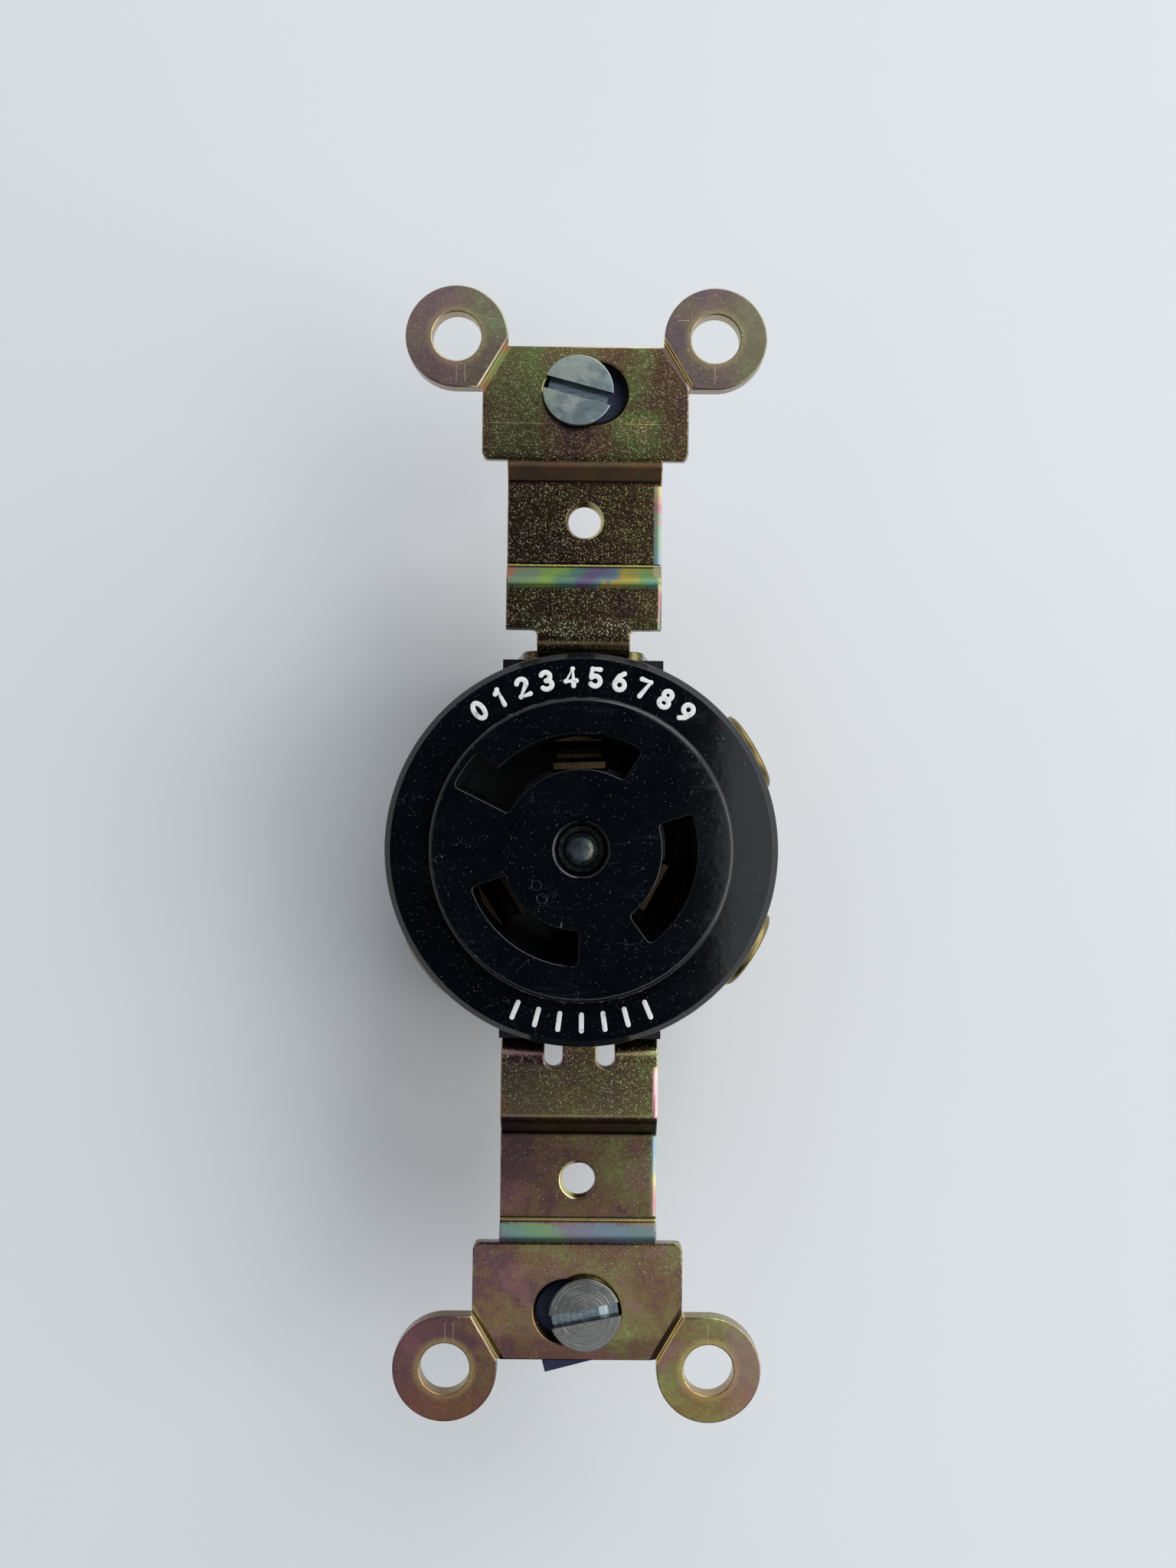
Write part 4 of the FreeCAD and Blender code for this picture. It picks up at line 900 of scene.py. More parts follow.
class BentRun:
    """The middle line of half the strap, from behind the housing to the end, with rounded bends."""

    def __init__(self, corners, radii):
        points = [Vector(p) for p in corners]
        self.pieces = []
        start = points[0]
        for before, corner, after, radius in zip(points, points[1:], points[2:], radii):
            into, out = (corner - before).normalized(), (after - corner).normalized()
            turn = into.angle_signed(out) * -1
            back = radius * tan(abs(turn) / 2)
            first = corner - into * back
            self.pieces.append(("line", start, into, (first - start).length))
            side = 1 if turn > 0 else -1
            centre = first + Vector((-into.y, into.x)) * radius * side
            self.pieces.append(("arc", centre, (first - centre, side / radius), radius * abs(turn)))
            start = corner + out * back
        self.pieces.append(("line", start, (points[-1] - start).normalized(), (points[-1] - start).length))

    def at(self, run):
        """Point of the middle line and the direction along it, that far from its start."""
        for kind, origin, aim, span in self.pieces:
            if run <= span or (kind, origin, aim, span) == self.pieces[-1]:
                if kind == "line":
                    return origin + aim * run, aim
                arm, rate = aim
                turned = arm.copy()
                turned.rotate(Matrix.Rotation(run * rate, 2))
                along = Vector((-turned.y, turned.x)).normalized() * (1 if rate > 0 else -1)
                return origin + turned, along
            run -= span

    def run_to(self, axis, value):
        """Run at which the line first passes a Y (axis 0) or a height (axis 1)."""
        low, high = (0.0, 44.0) if axis == 1 else (self.run_to(1, -0.8), 90.0)
        for _ in range(50):
            middle = (low + high) / 2
            low, high = (middle, high) if self.at(middle)[0][axis] < value else (low, middle)
        return high

    def cuts(self):
        """Runs at which a flat blank is cut so that it bends smoothly."""
        run, found = 0.0, []
        for kind, _, aim, span in self.pieces:
            if kind == "arc":
                steps = max(4, round(degrees(span * abs(aim[1])) / 9))
                found += [run + span * i / steps for i in range(steps + 1)]
            run += span
        return found


def strap_run(s):
    """The strap's middle line, in (Y, Z); a pad lies a step deeper than the rest."""
    half, step, slant = THICKNESS / 2, 1, 1.5
    slope = Vector((slant, step)).normalized()
    shift = half * tan(atan2(slope.y, slope.x) / 2)
    leg, back = LUG_Y + half, STRAP_LOW.z + half
    near, far = COVER_HOLE_Y - 4.17, COVER_HOLE_Y + 3.55
    corners = [(0, back), (leg, back), (leg, -half), (near - slant - shift, -half),
               (near - shift, -step - half), (far + shift, -step - half), (far + slant + shift, -half),
               (80, -half)]
    return BentRun(corners, [s.bend] * 2 + [s.press] * 4)


def bend_end(s):
    """Y at which the strap lies flat again outside the housing."""
    return LUG_Y + THICKNESS / 2 + s.bend + 0.01


def strap_outline(s, run):
    """The blank's outline: across the strap and along its run."""
    wide, neck, plate_wide = s.half_width, s.neck_half_width, s.plate_half_width
    plate_start, end = run.run_to(0, s.plate_y), run.run_to(0, s.end_y)
    ear, notch = run.run_to(0, EAR_Y), run.run_to(0, LUG_Y + 2.85)
    shoulder = run.run_to(1, -5.7)
    corner, shoulder_radius, notch_radius = 0.7, 1.5, 0.6
    plate_side = [(wide, plate_start)]
    plate_side += arc(plate_wide - corner, plate_start + corner, corner, -90, 0, 5)
    plate_side += [(plate_wide, ear - EAR_RADIUS)] + arc(EAR_X, ear, EAR_RADIUS, -90, 180, 54)
    plate_side += [(EAR_X - EAR_RADIUS, end)]
    lower = [(x, -y) for x, y in plate_side]
    upper = [(wide, run.run_to(1, -14.0)), (neck + shoulder_radius, shoulder)]
    upper += arc(neck, shoulder, shoulder_radius, 0, 90, 8)[1:]
    upper += arc(neck + notch_radius, notch - notch_radius, notch_radius, 180, 90, 5)
    return mirrored(lower[::-1] + upper + [(wide, notch)] + plate_side)


def slot_path(s, inset=0.0):
    """Round-ended outline of a mounting slot."""
    reach, half = (s.slot_length - s.slot_width) / 2, s.slot_width / 2 - inset
    return arc(reach, 0, half, -90, 90, 24) + arc(-reach, 0, half, 90, 270, 24)


def strap_holes(s, run):
    """Holes of the blank: ears, mounting slots, cover screws, rivet and the window round the tongue."""
    holes = [circle(0, 0, 1.32, 40)]
    for side in (1, -1):
        slot, ear = side * run.run_to(0, SLOT_Y), side * run.run_to(0, EAR_Y)
        holes.append([(x, y + slot) for x, y in slot_path(s)])
        holes += [circle(x, ear, EARS["hole_r_mm"], 56) for x in (EAR_X, -EAR_X)]
        holes.append(circle(0, side * run.run_to(0, COVER_HOLE_Y), COVER_HOLES["hole_r_mm"], 44))
    tongue, slit, corner = 1.55, 1.65, 0.25
    offset = run.run_to(0, bend_end(s)) - bend_end(s)
    root = offset + LUG_Y + 2.7 - slit / 2
    tip = offset + LUG_Y - 1.75 + corner
    window = [(tongue + slit, -run.run_to(1, -6.0))] + arc(tongue + slit / 2, -root, slit / 2, 0, -180, 14)
    window += [(tongue, -tip)] + arc(tongue - corner, -tip, corner, 0, 90, 4)[1:]
    return holes + [mirrored(window)]


def slot_lips(s):
    """Sheared walls of the mounting slots, a little inside their rolled-over upper edges."""
    rings = []
    for side in (1, -1):
        shape = bmesh.new()
        loops = [[shape.verts.new((x, y + side * SLOT_Y, level)) for x, y in slot_path(s, inset)]
                 for inset, level in ((-0.05, -0.01), (0.0, -0.02), (0.26, -0.3), (0.26, -1.2), (-0.05, -1.3))]
        for one, two in zip(loops, loops[1:] + loops[:1]):
            for i in range(len(one)):
                shape.faces.new((one[i - 1], one[i], two[i], two[i - 1]))
        rings.append(as_mesh(shape, "lip"))
    return rings


def bent(mesh, s, run):
    """Bends the flat blank along the strap's run; the tongue stays flat."""
    flat_y = bend_end(s)
    flat = run.run_to(0, flat_y)

    def change(shape):
        for at in run.cuts():
            for side in (1, -1):
                sliced(shape, (0, side * at, 0), (0, 1, 0))
        for vert in shape.verts:
            x, along, rise = vert.co
            if abs(x) < 2.46 and flat - 4.2 < -along < flat:
                vert.co = (x, -flat_y + (flat + along), rise - THICKNESS / 2)
                continue
            point, aim = run.at(abs(along))
            side = 1 if along >= 0 else -1
            vert.co = (x, side * (point.x - aim.y * rise), point.y + aim.x * rise)
    return merged(edit(mesh, change), 2e-4)


def groove_tools(s):
    """Bars for the score lines: a long flank on the plate's side, a steep wall and a worn lip on the ear's."""
    tools = []
    foot, edge, lift = s.groove_width * GROOVE_FOOT, s.groove_width * GROOVE_EDGE, 0.3
    slope = (edge + foot) / s.groove_depth
    section = [(-edge - slope * lift, lift), (foot, -s.groove_depth), (foot + 0.1, -s.groove_depth),
               (foot + 0.18, -0.05), (foot + 0.28 + 2 * lift, lift)]
    for sx in (1, -1):
        for sy in (1, -1):
            start = Vector((sx * s.plate_half_width, sy * (EAR_Y - EAR_RADIUS), 0))
            end = Vector((sx * (EAR_X - EAR_RADIUS), sy * s.end_y, 0))
            along = (end - start).normalized()
            across = along.cross(Vector((0, 0, 1))) * sx * sy
            shift = across * GROOVE_SHIFT[sy]
            tools.append(bar(section, start - along + shift, end + along + shift, across))
    return tools


def bar(section, start, end, across):
    """Straight bar of a section given across and in height."""
    shape = bmesh.new()
    rings = [[shape.verts.new(at + across * u + Vector((0, 0, v))) for u, v in section] for at in (start, end)]
    shape.faces.new(rings[0][::-1])
    shape.faces.new(rings[1])
    for i in range(len(section)):
        j = (i + 1) % len(section)
        shape.faces.new((rings[0][i], rings[0][j], rings[1][j], rings[1][i]))
    return as_mesh(shape, "bar")


def coin_tools(s):
    """Wedges that flatten the right-hand edge of the pads and of the band beside the housing."""
    tools = []
    for side, band_share, pad_share in ((1, 0.5, 1.0), (-1, 0.65, 0.65)):
        for inner, outer, level, share in ((LUG_Y + 2.5, COVER_HOLE_Y - 5.9, 0.0, band_share),
                                           (COVER_HOLE_Y - 4.0, COVER_HOLE_Y + 3.4, -1.0, pad_share)):
            width, beyond, clear = s.coin_width * share, 0.6, 0.8
            x_in, x_out = s.half_width - width, s.half_width + beyond
            drop = s.coin_depth * (1 + beyond / width)
            section = [(x_in, 0.0), (x_out, -drop), (x_out, clear), (x_in, clear)]
            ends = [Vector((0, side * y, level)) for y in (inner, outer)]
            tools.append(bar(section, *ends, Vector((1, 0, 0))))
    return tools


def hole_thread():
    """Tree for the thread inside a tapped hole: a thin ring whose inner wall carries the crests."""
    t = Shaper("tapped thread", Radius=1.65, Depth=0.15, Pitch=0.794, Length=1.4, Rows=22)
    radius, depth, pitch, tall, rows = t.sizes
    sheet, x, y = t.sheet(rows + 3, 48)
    row = ((x + 0.5) * (rows + 2)).rounded()
    inside = (row > 0.5) * (row < rows + 0.5)
    along = ((row - 1) / (rows - 1)).most(0.0).least(1.0) * (row < rows + 1.5)
    tooth = 1 - abs((along * tall / pitch + y + 0.5).fraction() * 2 - 1)
    ease = (along * 7).least(1.0) * ((1 - along) * 7).least(1.0)
    out = radius + 0.04 - inside * (0.05 + depth * tooth * ease)
    return t.close(t.rolled(sheet, out, y, along * tall * -1))


class RECEPTACLE_OT_strap(bpy.types.Operator):
    """Bend, pierce and score the plated steel strap"""
    bl_idname = "receptacle.strap"
    bl_label = "Strap"

    def execute(self, context):
        s = Millimetres(context.scene.receptacle_strap)
        run = strap_run(s)
        mesh = plate([strap_outline(s, run)] + strap_holes(s, run), THICKNESS, s.edge, 2)
        mesh = cut(bent(mesh, s, run), groove_tools(s) + coin_tools(s))
        tree, threads = hole_thread(), []
        for side in (1, -1):
            ring = merged(shaped(tree, finish("strap_zinc"), Length=THICKNESS - 0.16))
            ring.transform(Matrix.Translation((0, side * COVER_HOLE_Y, -1.08)))
            threads.append(ring)
        mesh = joined([merged(mesh)] + threads + slot_lips(s))
        place("strap", mesh, "strap_zinc", "chassis", "mounting_strap")
        return {"FINISHED"}


# ---- Moulded face

BLADE_SLOTS = {"a": (59.0, 154.0), "b": (-53.3, 18.5), "c": (199.3, 268.7)}
LEG_REACH, LEG_START = 12.5, 137.0
WELL_RADIUS, SHAFT_RADIUS = 2.3, 12.95


def blade_slot(inner, outer, start, end, corner, leg=None):
    """Outline of a blade slot, anticlockwise: a ring sector with rounded corners, with a radial leg
    outwards at its far end where leg gives the leg's reach and the angle at which it starts."""
    def at(radius, turn):
        return radius * cos(radians(turn)), radius * sin(radians(turn))

    def rounded(radius, turn, outwards, onwards, first):
        """Corner between a circle and a radial side; first says which of the two is met first."""
        middle = radius + outwards * corner
        centre = turn + onwards * degrees(asin(corner / middle))
        facing = centre + (180 if outwards > 0 else 0)
        side = turn - onwards * 90
        begin, stop = (facing, side) if first == "circle" else (side, facing)
        while stop < begin:
            stop += 360
        while stop > begin + 180:
            stop -= 360
        return arc(*at(middle, centre), corner, begin, stop, 5), centre

    def along(radius, first, last):
        steps = max(2, round(abs(last - first) / 3))
        return [at(radius, first + (last - first) * i / steps) for i in range(1, steps)]
    far, near = leg or (outer, start)
    top_end, top_at = rounded(far, end, -1, -1, "circle")
    low_end, low_at = rounded(inner, end, 1, -1, "side")
    low_start, low_from = rounded(inner, start, 1, 1, "circle")
    outer_start, outer_from = rounded(outer, start, -1, 1, "side")
    points = top_end + low_end + along(inner, low_at, low_from) + low_start + outer_start
    if leg:
        leg_corner, leg_from = rounded(far, near, -1, 1, "side")
        points += along(outer, outer_from, near) + [at(outer, near)] + leg_corner
        outer_from = leg_from
    return points + along(far, outer_from, top_at)


def face_plate(f):
    """Raised disc with its blade slots and the opening of its centre well."""
    low, high = FACE_LOW.z, FACE_HIGH.z
    loops = [circle(0, 0, f.disc_radius, 160)]
    for name, (start, end) in BLADE_SLOTS.items():
        loops.append(blade_slot(7.12, 10.2, start, end, 0.42, (LEG_REACH, LEG_START) if name == "a" else None))
    loops.append(circle(0, 0, WELL_RADIUS, 64))
    mesh = plate(loops, high - low, f.slot_edge, 4)
    mesh.transform(Matrix.Translation((0, 0, (high + low) / 2)))

    def change(shape):
        for level in (0, -0.02):
            sliced(shape, (0, 0, level), (0, 0, 1))
        rounded = f.slot_edge * 1.02
        for vert in shape.verts:
            out = new = hypot(vert.co.x, vert.co.y)
            drop, z = high - vert.co.z, vert.co.z
            if out > f.disc_radius - rounded and drop < rounded:
                grow = f.rim / f.slot_edge
                new, z = f.disc_radius - (f.disc_radius - out) * grow, high - drop * grow
            elif out < WELL_RADIUS + rounded and drop < rounded:
                grow = 0.3 / f.slot_edge
                new, z = WELL_RADIUS + (out - WELL_RADIUS) * grow, high - drop * grow
            elif out > f.disc_radius - 0.3 and z < -0.01:
                new = SHAFT_RADIUS
            if new != out or z != vert.co.z:
                vert.co = (vert.co.x * new / out, vert.co.y * new / out, z)
    return merged(edit(mesh, change))


def face_flange():
    """Tree for the flange ring round the disc and the floor of the centre well."""
    t = Shaper("flange", Radius=FACE_HIGH.x, Thickness=2.2, Chamfer=0.6, Inner=13.2, Well=2.34, Rivet=1.32,
               Floor=0.7)
    radius, thick, chamfer, inner, well, rivet, floor = t.sizes
    flange = [(inner, 0.0), (inner, thick), (radius - chamfer, thick), (radius - chamfer * 0.94, thick - 0.015),
              (radius - 0.06, thick - chamfer * 0.82), (radius, thick - chamfer), (radius, 0.12),
              (radius - 0.12, 0.0), (inner, 0.0)]
    seat = [(rivet, floor - 1.5), (rivet, floor), (well, floor), (well, floor - 1.5), (rivet, floor - 1.5)]
    return t.close(t.joined(t.lathe(flange, 192), t.lathe(seat, 64)))


# Strokes of the numerals 0 to 9: l is a run of corners, o an oval arc (centre, radii, angles).
DIGITS = (
    ["o 0 0 .5 1 90 450"],
    ["l -.3 .62 .08 1 .08 -1"],
    ["o 0 .48 .5 .52 165 -35", "l .41 .18 -.5 -1 .55 -1"],
    ["o -.02 .5 .48 .5 150 -90", "o -.04 -.5 .55 .5 90 -150"],
    ["l .24 -1 .24 1 -.55 -.42 .55 -.42"],
    ["l .45 1 -.38 1 -.44 .08", "o -.02 -.4 .54 .6 140 -145"],
    ["o .03 -.42 .52 .58 0 360", "l -.46 -.2 -.2 .55 .3 1"],
    ["l -.5 1 .5 1 -.12 -1"],
    ["o 0 .52 .44 .48 0 360", "o 0 -.5 .52 .5 0 360"],
    ["o -.03 .42 .52 .58 0 360", "l .46 .2 .2 -.55 -.3 -1"],
)
DIGITS_START, DIGITS_ARC = 127.0, 74.0
BARS_START, BARS_ARC = 248.0, 45.0


def stroke_points(text):
    """Points of one stroke of a numeral."""
    kind, *numbers = text.split()
    values = [float(n) for n in numbers]
    if kind == "l":
        return list(zip(values[::2], values[1::2]))
    return oval(*values, max(6, round(abs(values[5] - values[4]) / 15)))


def marks_base(f):
    """Strokes of the numerals and bars as edges, flat on the flange, with the angle each stands at."""
    shape = bmesh.new()
    turn = shape.verts.layers.float.new("turn")
    half = (f.numeral_height - f.stroke) / 2

    def stroke(points, angle):
        verts = [shape.verts.new((x * half * 1.12, y * half, 0)) for x, y in points]
        for vert in verts:
            vert[turn] = radians(angle)
        for pair in zip(verts, verts[1:]):
            shape.edges.new(pair)
    for i, strokes in enumerate(DIGITS):
        for text in strokes:
            stroke(stroke_points(text), DIGITS_START - DIGITS_ARC / 9 * i)
    for i in range(f.bars):
        stroke([(0, -0.95), (0, 0.95)], BARS_START + BARS_ARC * i / max(1, f.bars - 1))
    return as_mesh(shape, "marks", False)


def marks_tree():
    """Tree that lays round-ended painted strokes along an arc round the face axis."""
    t = Shaper("flange marks", Radius=15.35, Stroke=0.42, Top=2.2, Proud=0.03)
    radius, wide, top, proud = t.sizes
    turn = t.add("GeometryNodeInputNamedAttribute", {"Name": "turn"}, data_type="FLOAT")
    x, y, _ = t.position()
    out = radius + y
    placed = t.moved(t.entry, out * turn.cosine() + x * turn.sine(), out * turn.sine() - x * turn.cosine(), 0.0)
    curve = t.add("GeometryNodeMeshToCurve", {"Mesh": placed})
    tube = t.add("GeometryNodeCurveToMesh", {"Curve": curve, "Profile Curve": t.ring(wide / 2, 14),
                                             "Fill Caps": True})
    ball = t.add("GeometryNodeMeshUVSphere", {"Segments": 14, "Rings": 8, "Radius": wide / 2})
    ends = t.add("GeometryNodeInstanceOnPoints", {"Points": placed, "Instance": ball})
    real = t.add("GeometryNodeRealizeInstances", {"Geometry": t.joined(tube, ends)})
    x, y, z = t.position()
    return t.close(t.moved(real, x, y, top + (z / (wide / 2)) * proud))


def gate_rings():
    """Tree for the two tiny moulded rings on the disc."""
    t = Shaper("gate rings", Radius=0.42, Wire=0.07, Count=2, Pitch=1.25)
    radius, wire, count, pitch = t.sizes
    hoop = t.add("GeometryNodeCurveToMesh", {"Curve": t.ring(radius, 28), "Profile Curve": t.ring(wire, 8)})
    row = t.add("GeometryNodeMeshLine", {"Count": count, "Offset": t.point(pitch, 0.0, 0.0)})
    return t.close(t.add("GeometryNodeInstanceOnPoints", {"Points": row, "Instance": hoop}))


class RECEPTACLE_OT_face(bpy.types.Operator):
    """Mould the flange and disc with their blade slots, and paint the marks"""
    bl_idname = "receptacle.face"
    bl_label = "Moulded Face"

    def execute(self, context):
        f = Millimetres(context.scene.receptacle_face)
        black, paint = finish("face_black"), finish("marking_paint")
        flange = merged(shaped(face_flange(), black, Chamfer=f.flange_chamfer))
        rings = merged(shaped(gate_rings(), black))
        rings.transform(Matrix.Translation((-3.9, -3.15, FACE_HIGH.z + 0.05))
                        @ Matrix.Rotation(radians(-68), 4, "Z"))
        mesh = joined([cut(face_plate(f), [rings]), flange])
        place("moulded_face", mesh, "face_black", "chassis", "front_face", sharp=30)
        marks = shaped(marks_tree(), paint, marks_base(f), Radius=f.numeral_radius, Stroke=f.stroke)
        place("flange_marks", merged(marks, 1e-5), "marking_paint", "chassis", slot="face_black")
        return {"FINISHED"}


# ---- Housing, rivet and contacts

class RECEPTACLE_OT_housing(bpy.types.Operator):
    """Mould the housing and the cover behind it"""
    bl_idname = "receptacle.housing"
    bl_label = "Housing"

    def execute(self, context):
        eased_piece("housing", "rear_body", "body_black", "chassis", 0.18)
        eased_piece("housing_cover", "rear_cover", "body_black", "chassis", 0.18)
        return {"FINISHED"}


def rivet_tree():
    """Tree for the centre rivet: formed end and collar in the well, shank, and the head behind."""
    t = Shaper("rivet", Shank=1.3, Formed=1.58, Collar=0.35, Crown=0.32, Seat=1.2, Back=-25.4, Head=1.3,
               Spread=1.3)
    shank, formed, collar, crown, seat, back, head, spread = t.sizes
    dome = [(shank * sin(radians(a)), seat + collar + crown * cos(radians(a))) for a in (15, 30, 45, 60, 75)]
    return t.close(t.lathe([
        (0.0, seat + collar + crown), *dome, (shank * 1.01, seat + collar + 0.03),
        (formed - 0.06, seat + collar), (formed, seat + collar - 0.07), (formed, seat + 0.04),
        (formed - 0.04, seat), (shank, seat), (shank, back + head), (shank + spread - 0.05, back + 0.05),
        (shank + spread, back + 0.02), (shank + spread - 0.04, back), (0.9, back), (0.8, back + 0.12),
        (0.0, back + 0.16)], 64))


def washer_tree():
    """Tree for the washer at the bottom of the centre well."""
    t = Shaper("rivet washer", Radius=2.15, Bore=1.32, Floor=0.7, Thickness=0.5, Ease=0.08)
    radius, bore, floor, thick, ease = t.sizes
    top = floor + thick
    return t.close(t.lathe([(bore, floor), (bore, top - ease), (bore + ease, top), (radius - ease, top),
                            (radius, top - ease), (radius, floor), (bore, floor)], 64))


class RECEPTACLE_OT_rivet(bpy.types.Operator):
    """Turn the centre rivet and its washer"""
    bl_idname = "receptacle.rivet"
    bl_label = "Centre Rivet"

    def execute(self, context):
        for name, tree, node in (("rivet", rivet_tree, "centre_rivet"), ("washer", washer_tree, "rivet_washer")):
            mesh = merged(shaped(tree(), finish("rivet_zinc")))
            place(name, mesh, "rivet_zinc", "chassis", node)
        return {"FINISHED"}


class RECEPTACLE_OT_contacts(bpy.types.Operator):
    """Ease and finish the spring contacts and their rivets"""
    bl_idname = "receptacle.contacts"
    bl_label = "Contacts"

    def execute(self, context):
        for pole in POLES:
            eased_piece(f"contact_{pole}_strip", f"contact_{pole}", "contact_copper", "chassis", 0.06)
            eased_piece(f"leaf_{pole}_strip", f"spring_leaf_{pole}", "contact_copper", f"leaf_{pole}", 0.08)
        eased_piece("contact_rivet_set", "contact_rivets", "terminal_brass", "chassis", 0.1)
        return {"FINISHED"}


# ---- Screws

def screw_tree(name, crowned, **sizes):
    """Tree for a slotted screw standing along Z: turned head, neck and threaded shank, with its driver slot."""
    t = Shaper(name, **sizes, Pitch=0.794, Depth=0.3, Drive=1.15, Drive_Depth=1.0, Turn=0.0)
    (head, seat, high, ease, crown, cone, neck, neck_low, shank, tall,
     pitch, depth, drive, drive_depth, turn) = t.sizes
    top = seat + high
    rows = [(0.0, top + crown)]
    if crowned:
        rows += [(head * share, top + crown * (1 - share * share)) for share in (0.2, 0.4, 0.6, 0.8, 0.93)]
    rows += [(head - ease * (1 - sin(radians(a))), top - ease * (1 - cos(radians(a))))
             for a in (0, 22, 45, 68, 90)]
    rows += [(head, seat + 0.05), (head - 0.05, seat), (neck, seat - cone), (neck, neck_low), (0.0, neck_low)]
    cutter = t.add("GeometryNodeMeshCube", {"Size": t.point(head * 3, drive, drive_depth * 2)})
    spin = t.add("FunctionNodeAxisAngleToRotation", {"Axis": (0, 0, 1), "Angle": turn})
    cutter = t.add("GeometryNodeTransform", {"Geometry": cutter, "Rotation": spin,
                                             "Translation": t.point(0.0, 0.0, top + crown)})
    slotted = t.add("GeometryNodeMeshBoolean", {"Mesh 1": t.merged(t.lathe(rows, 72)), "Mesh 2": cutter},
                    operation="DIFFERENCE", solver="EXACT")
    shank_top = neck_low + 0.02
    thread = t.thread(shank, depth, pitch, shank_top, tall - (seat - shank_top), 36)
    return t.close(t.joined(slotted, thread))


class RECEPTACLE_OT_mounting_screws(bpy.types.Operator):
    """Turn the two mounting screws and punch their fibre retainers"""
    bl_idname = "receptacle.mounting_screws"
    bl_label = "Mounting Screws"

    def execute(self, context):
        s = Millimetres(context.scene.receptacle_screws)
        head, rim, neck = 3.23, 0.3, 1.5
        tree = screw_tree("mounting screw", False, Head=head, Seat=0.45, Height=rim, Ease=0.08, Crown=0.0,
                          Cone=head - neck, Neck=neck, Neck_Low=-2.5, Shank=1.75, Length=18.75)
        for end, turn, deep, metal in (("upper", -14.6, 0.7, "screw_zinc"), ("lower", 11.3, 0.45, "screw_steel")):
            low, high = box(f"mounting_screw_{end}")
            seat = high.z - rim
            screw = shaped(tree, finish(metal), Turn=radians(turn), Ease=s.turned_edge, Pitch=s.pitch,
                           Depth=s.depth, Drive=s.drive_width, Drive_Depth=deep, Seat=seat, Length=seat - low.z)
            x, y, _ = Vector(joint(f"{end}_screw_turn")["pos_m"]) / MM
            screw.transform(Matrix.Translation((x, y, 0)))
            place(f"{end}_screw_piece", bevelled(merged(screw), 0.04, 2, 50), metal, f"{end}_screw",
                  f"mounting_screw_{end}")
            eased_piece(f"{end}_retainer_piece", f"screw_retainer_{end}", "retainer_fibre", f"{end}_retainer",
                        0.08)
        return {"FINISHED"}


class RECEPTACLE_OT_terminals(bpy.types.Operator):
    """Stamp the terminal and pressure plates and turn the terminal screws"""
    bl_idname = "receptacle.terminals"
    bl_label = "Terminals"

    def execute(self, context):
        s = Millimetres(context.scene.receptacle_screws)
        rim, crown = 1.7, 0.45
        tree = screw_tree("terminal screw", True, Head=3.95, Seat=17.0, Height=rim, Ease=0.25, Crown=crown,
                          Cone=0.0, Neck=1.9, Neck_Low=16.8, Shank=2.08, Length=4.95)
        for pole in POLES:
            node = f"terminal_screw_{pole}"
            aim = Vector(joint(node + "_turn")["axis"])
            reach = [aim.dot(v.co) / MM for v in frame["nodes"][node].data.vertices]
            seat = max(reach) - rim - crown
            screw = shaped(tree, finish("screw_brass"), Seat=seat, Neck_Low=seat - 0.2, Drive_Depth=1.0,
                           Length=seat - min(reach), Pitch=s.pitch, Depth=s.depth, Turn=pi / 2,
                           Drive=s.drive_width)
            screw.transform(Matrix.Translation((0, 0, SCREW_LEVEL))
                            @ Matrix.Rotation(atan2(aim.y, aim.x), 4, "Z") @ Matrix.Rotation(pi / 2, 4, "Y"))
            place(f"{node}_piece", bevelled(merged(screw), 0.06, 2, 50), "screw_brass",
                  f"binding_screw_{pole}", node)
            for kind, body in (("pressure_plate", f"clamp_{pole}"), ("terminal_plate", "chassis")):
                eased_piece(f"{kind}_{pole}_piece", f"{kind}_{pole}", "terminal_brass", body, 0.12)
        return {"FINISHED"}


# ---- Stage

def stage_sheet(name, corners, colour, rough, seen):
    """Flat sheet of the stage: floor or a dark screen that only reflections see."""
    f = Finish(name)
    mottled = f.mix(f.span(f.noise(0.02, 3.0, 0.6), 0.3, 0.7) * 0.5, colour, shade(colour, 0.97))
    mesh = bpy.data.meshes.new(name)
    mesh.from_pydata([Vector(c) * MM for c in corners], [], [range(len(corners))])
    mesh.materials.append(f.surface(Base_Color=mottled, Roughness=rough))
    sheet = linked(name, mesh)
    sheet.visible_camera = seen


def stage_lamp(name, place_, size, watts, colour):
    """Soft square lamp that looks at the part and isn't seen itself."""
    data = bpy.data.lights.new(name, "AREA")
    data.size, data.energy, data.color = size, watts, colour
    lamp = linked(name, data)
    lamp.location = Vector(place_) * MM
    lamp.rotation_mode = "QUATERNION"
    lamp.rotation_quaternion = Vector(place_).to_track_quat("Z", "Y")
    lamp.visible_camera = False


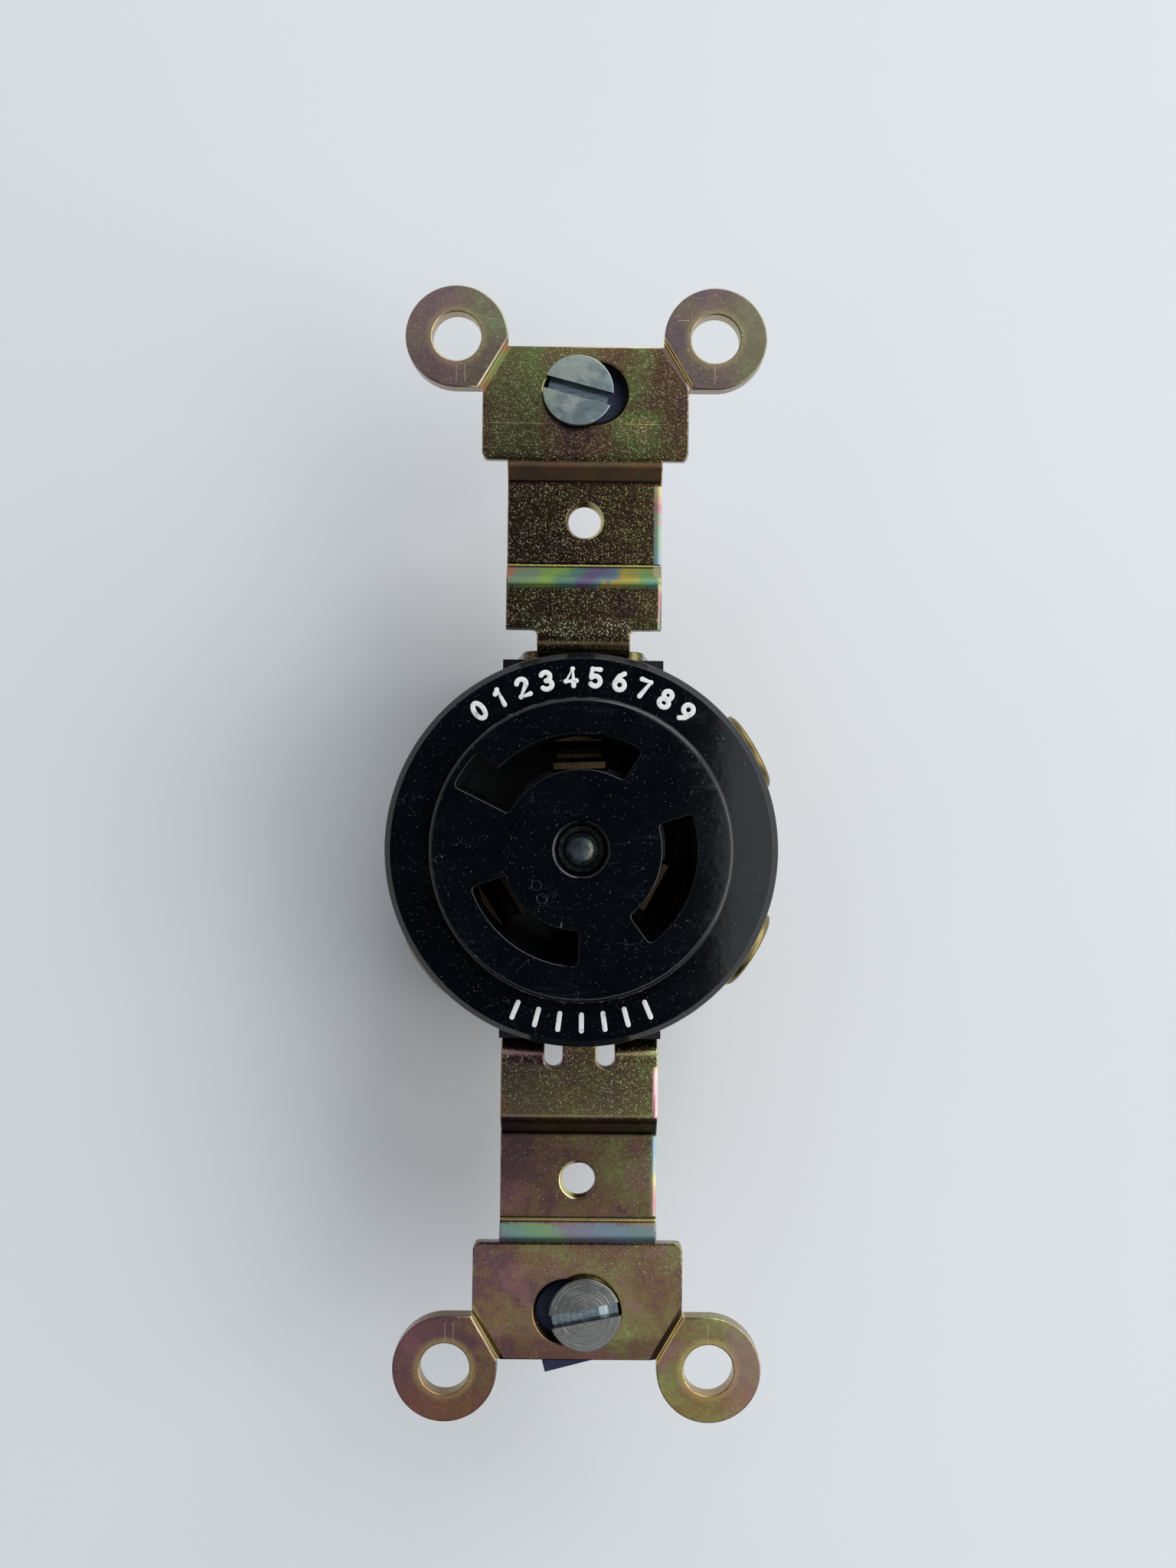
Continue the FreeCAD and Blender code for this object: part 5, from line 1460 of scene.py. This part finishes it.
def studio(strength):
    """World: even light, dimmer to the left and low down, and a pale plain background."""
    world = bpy.data.worlds.new("studio")
    world.use_nodes = True
    t = Tree(world.node_tree)
    t.tree.nodes.clear()
    ray = t.add("ShaderNodeLightPath", out="Is Camera Ray")
    across, along, _ = t.parts_of(t.add("ShaderNodeTexCoord", out="Generated"))
    level = 0.42 + t.span(across, -0.5, 0.15) * 0.58 + along * 0.1
    level = level * (0.25 + t.span(along, -0.75, -0.35) * 0.75)
    even = t.add("ShaderNodeBackground", {"Color": (0.90, 0.96, 1.0), "Strength": level * strength})
    seen = t.add("ShaderNodeBackground", {"Color": (0.86, 0.87, 0.89), "Strength": 1.0})
    t.add("ShaderNodeOutputWorld", {"Surface": t.add("ShaderNodeMixShader", {0: ray, 1: even, 2: seen})})
    return world


class RECEPTACLE_OT_stage(bpy.types.Operator):
    """Lay the floor, hang the lights and set up the camera"""
    bl_idname = "receptacle.stage"
    bl_label = "Stage"

    def execute(self, context):
        s = context.scene.receptacle_stage
        scene = context.scene
        under, reach, height, wide = STRAP_LOW.z - 0.02, 2500, 1200, 900
        stage_sheet("floor", [(-reach, -reach, under), (reach, -reach, under), (reach, reach, under),
                              (-reach, reach, under)], s.floor, 0.8, True)
        left, right, near, far = [height * tan(radians(angle)) for angle in (25, 7.4, 17, 24)]
        stage_sheet("screen_above", [(-left, -near, height), (-left, far, height), (right, far, height),
                                     (right, -near, height)], (0.004, 0.004, 0.006), 0.9, False)
        low, high = height / tan(radians(84)), height / tan(radians(38))
        stage_sheet("screen_below", [(-wide, -height, low), (wide, -height, low), (wide, -height, high),
                                     (-wide, -height, high)], (0.01, 0.01, 0.012), 0.9, False)
        scene.world = studio(s.world)
        stage_lamp("lamp_top", (450, 760, 520), 0.7, 3.7 * s.lamps, (1.0, 1.0, 1.0))
        stage_lamp("lamp_side", (760, -50, 560), 0.8, 4.2 * s.lamps, (1.0, 0.99, 0.97))
        data = bpy.data.cameras.new("camera")
        data.lens, data.sensor_width, data.clip_start = s.lens, 36.0, 0.001
        camera = linked("camera", data)
        camera.location = Vector((-0.1342, 3.4996, 107.82)) * MM
        camera.rotation_mode = "XYZ"
        camera.rotation_euler = [radians(angle) for angle in (1.25752, -0.36816, 0.55098)]
        scene.camera = camera
        scene.view_settings.view_transform = "Standard"
        return {"FINISHED"}


# ---- Panel and registration

OPERATORS = (RECEPTACLE_OT_stage, RECEPTACLE_OT_strap, RECEPTACLE_OT_face, RECEPTACLE_OT_housing,
             RECEPTACLE_OT_rivet, RECEPTACLE_OT_contacts, RECEPTACLE_OT_terminals,
             RECEPTACLE_OT_mounting_screws)
GROUPS = {"receptacle_strap": StrapSizes, "receptacle_face": FaceSizes, "receptacle_screws": ScrewSizes,
          "receptacle_finishes": Finishes, "receptacle_stage": StageSizes}


class RECEPTACLE_PT_panel(bpy.types.Panel):
    """Sizes, colours and steps of the receptacle"""
    bl_idname = "RECEPTACLE_PT_panel"
    bl_label = "Receptacle"
    bl_space_type = "VIEW_3D"
    bl_region_type = "UI"
    bl_category = "Receptacle"

    def draw(self, context):
        for attribute, group in GROUPS.items():
            rows = self.layout.box()
            rows.label(text=group.__name__)
            for name in group.__annotations__:
                rows.prop(getattr(context.scene, attribute), name)
        for operator in OPERATORS:
            self.layout.operator(operator.bl_idname)


def register():
    for kind in (*GROUPS.values(), *OPERATORS, RECEPTACLE_PT_panel):
        bpy.utils.register_class(kind)
    for attribute, group in GROUPS.items():
        setattr(bpy.types.Scene, attribute, PointerProperty(type=group))


def unregister():
    for attribute in GROUPS:
        delattr(bpy.types.Scene, attribute)
    for kind in reversed((*GROUPS.values(), *OPERATORS, RECEPTACLE_PT_panel)):
        bpy.utils.unregister_class(kind)


def main():
    """Builds everything."""
    register()
    for operator in OPERATORS:
        getattr(bpy.ops.receptacle, operator.bl_idname.split(".")[1])()


if __name__ == "__main__":
    main()
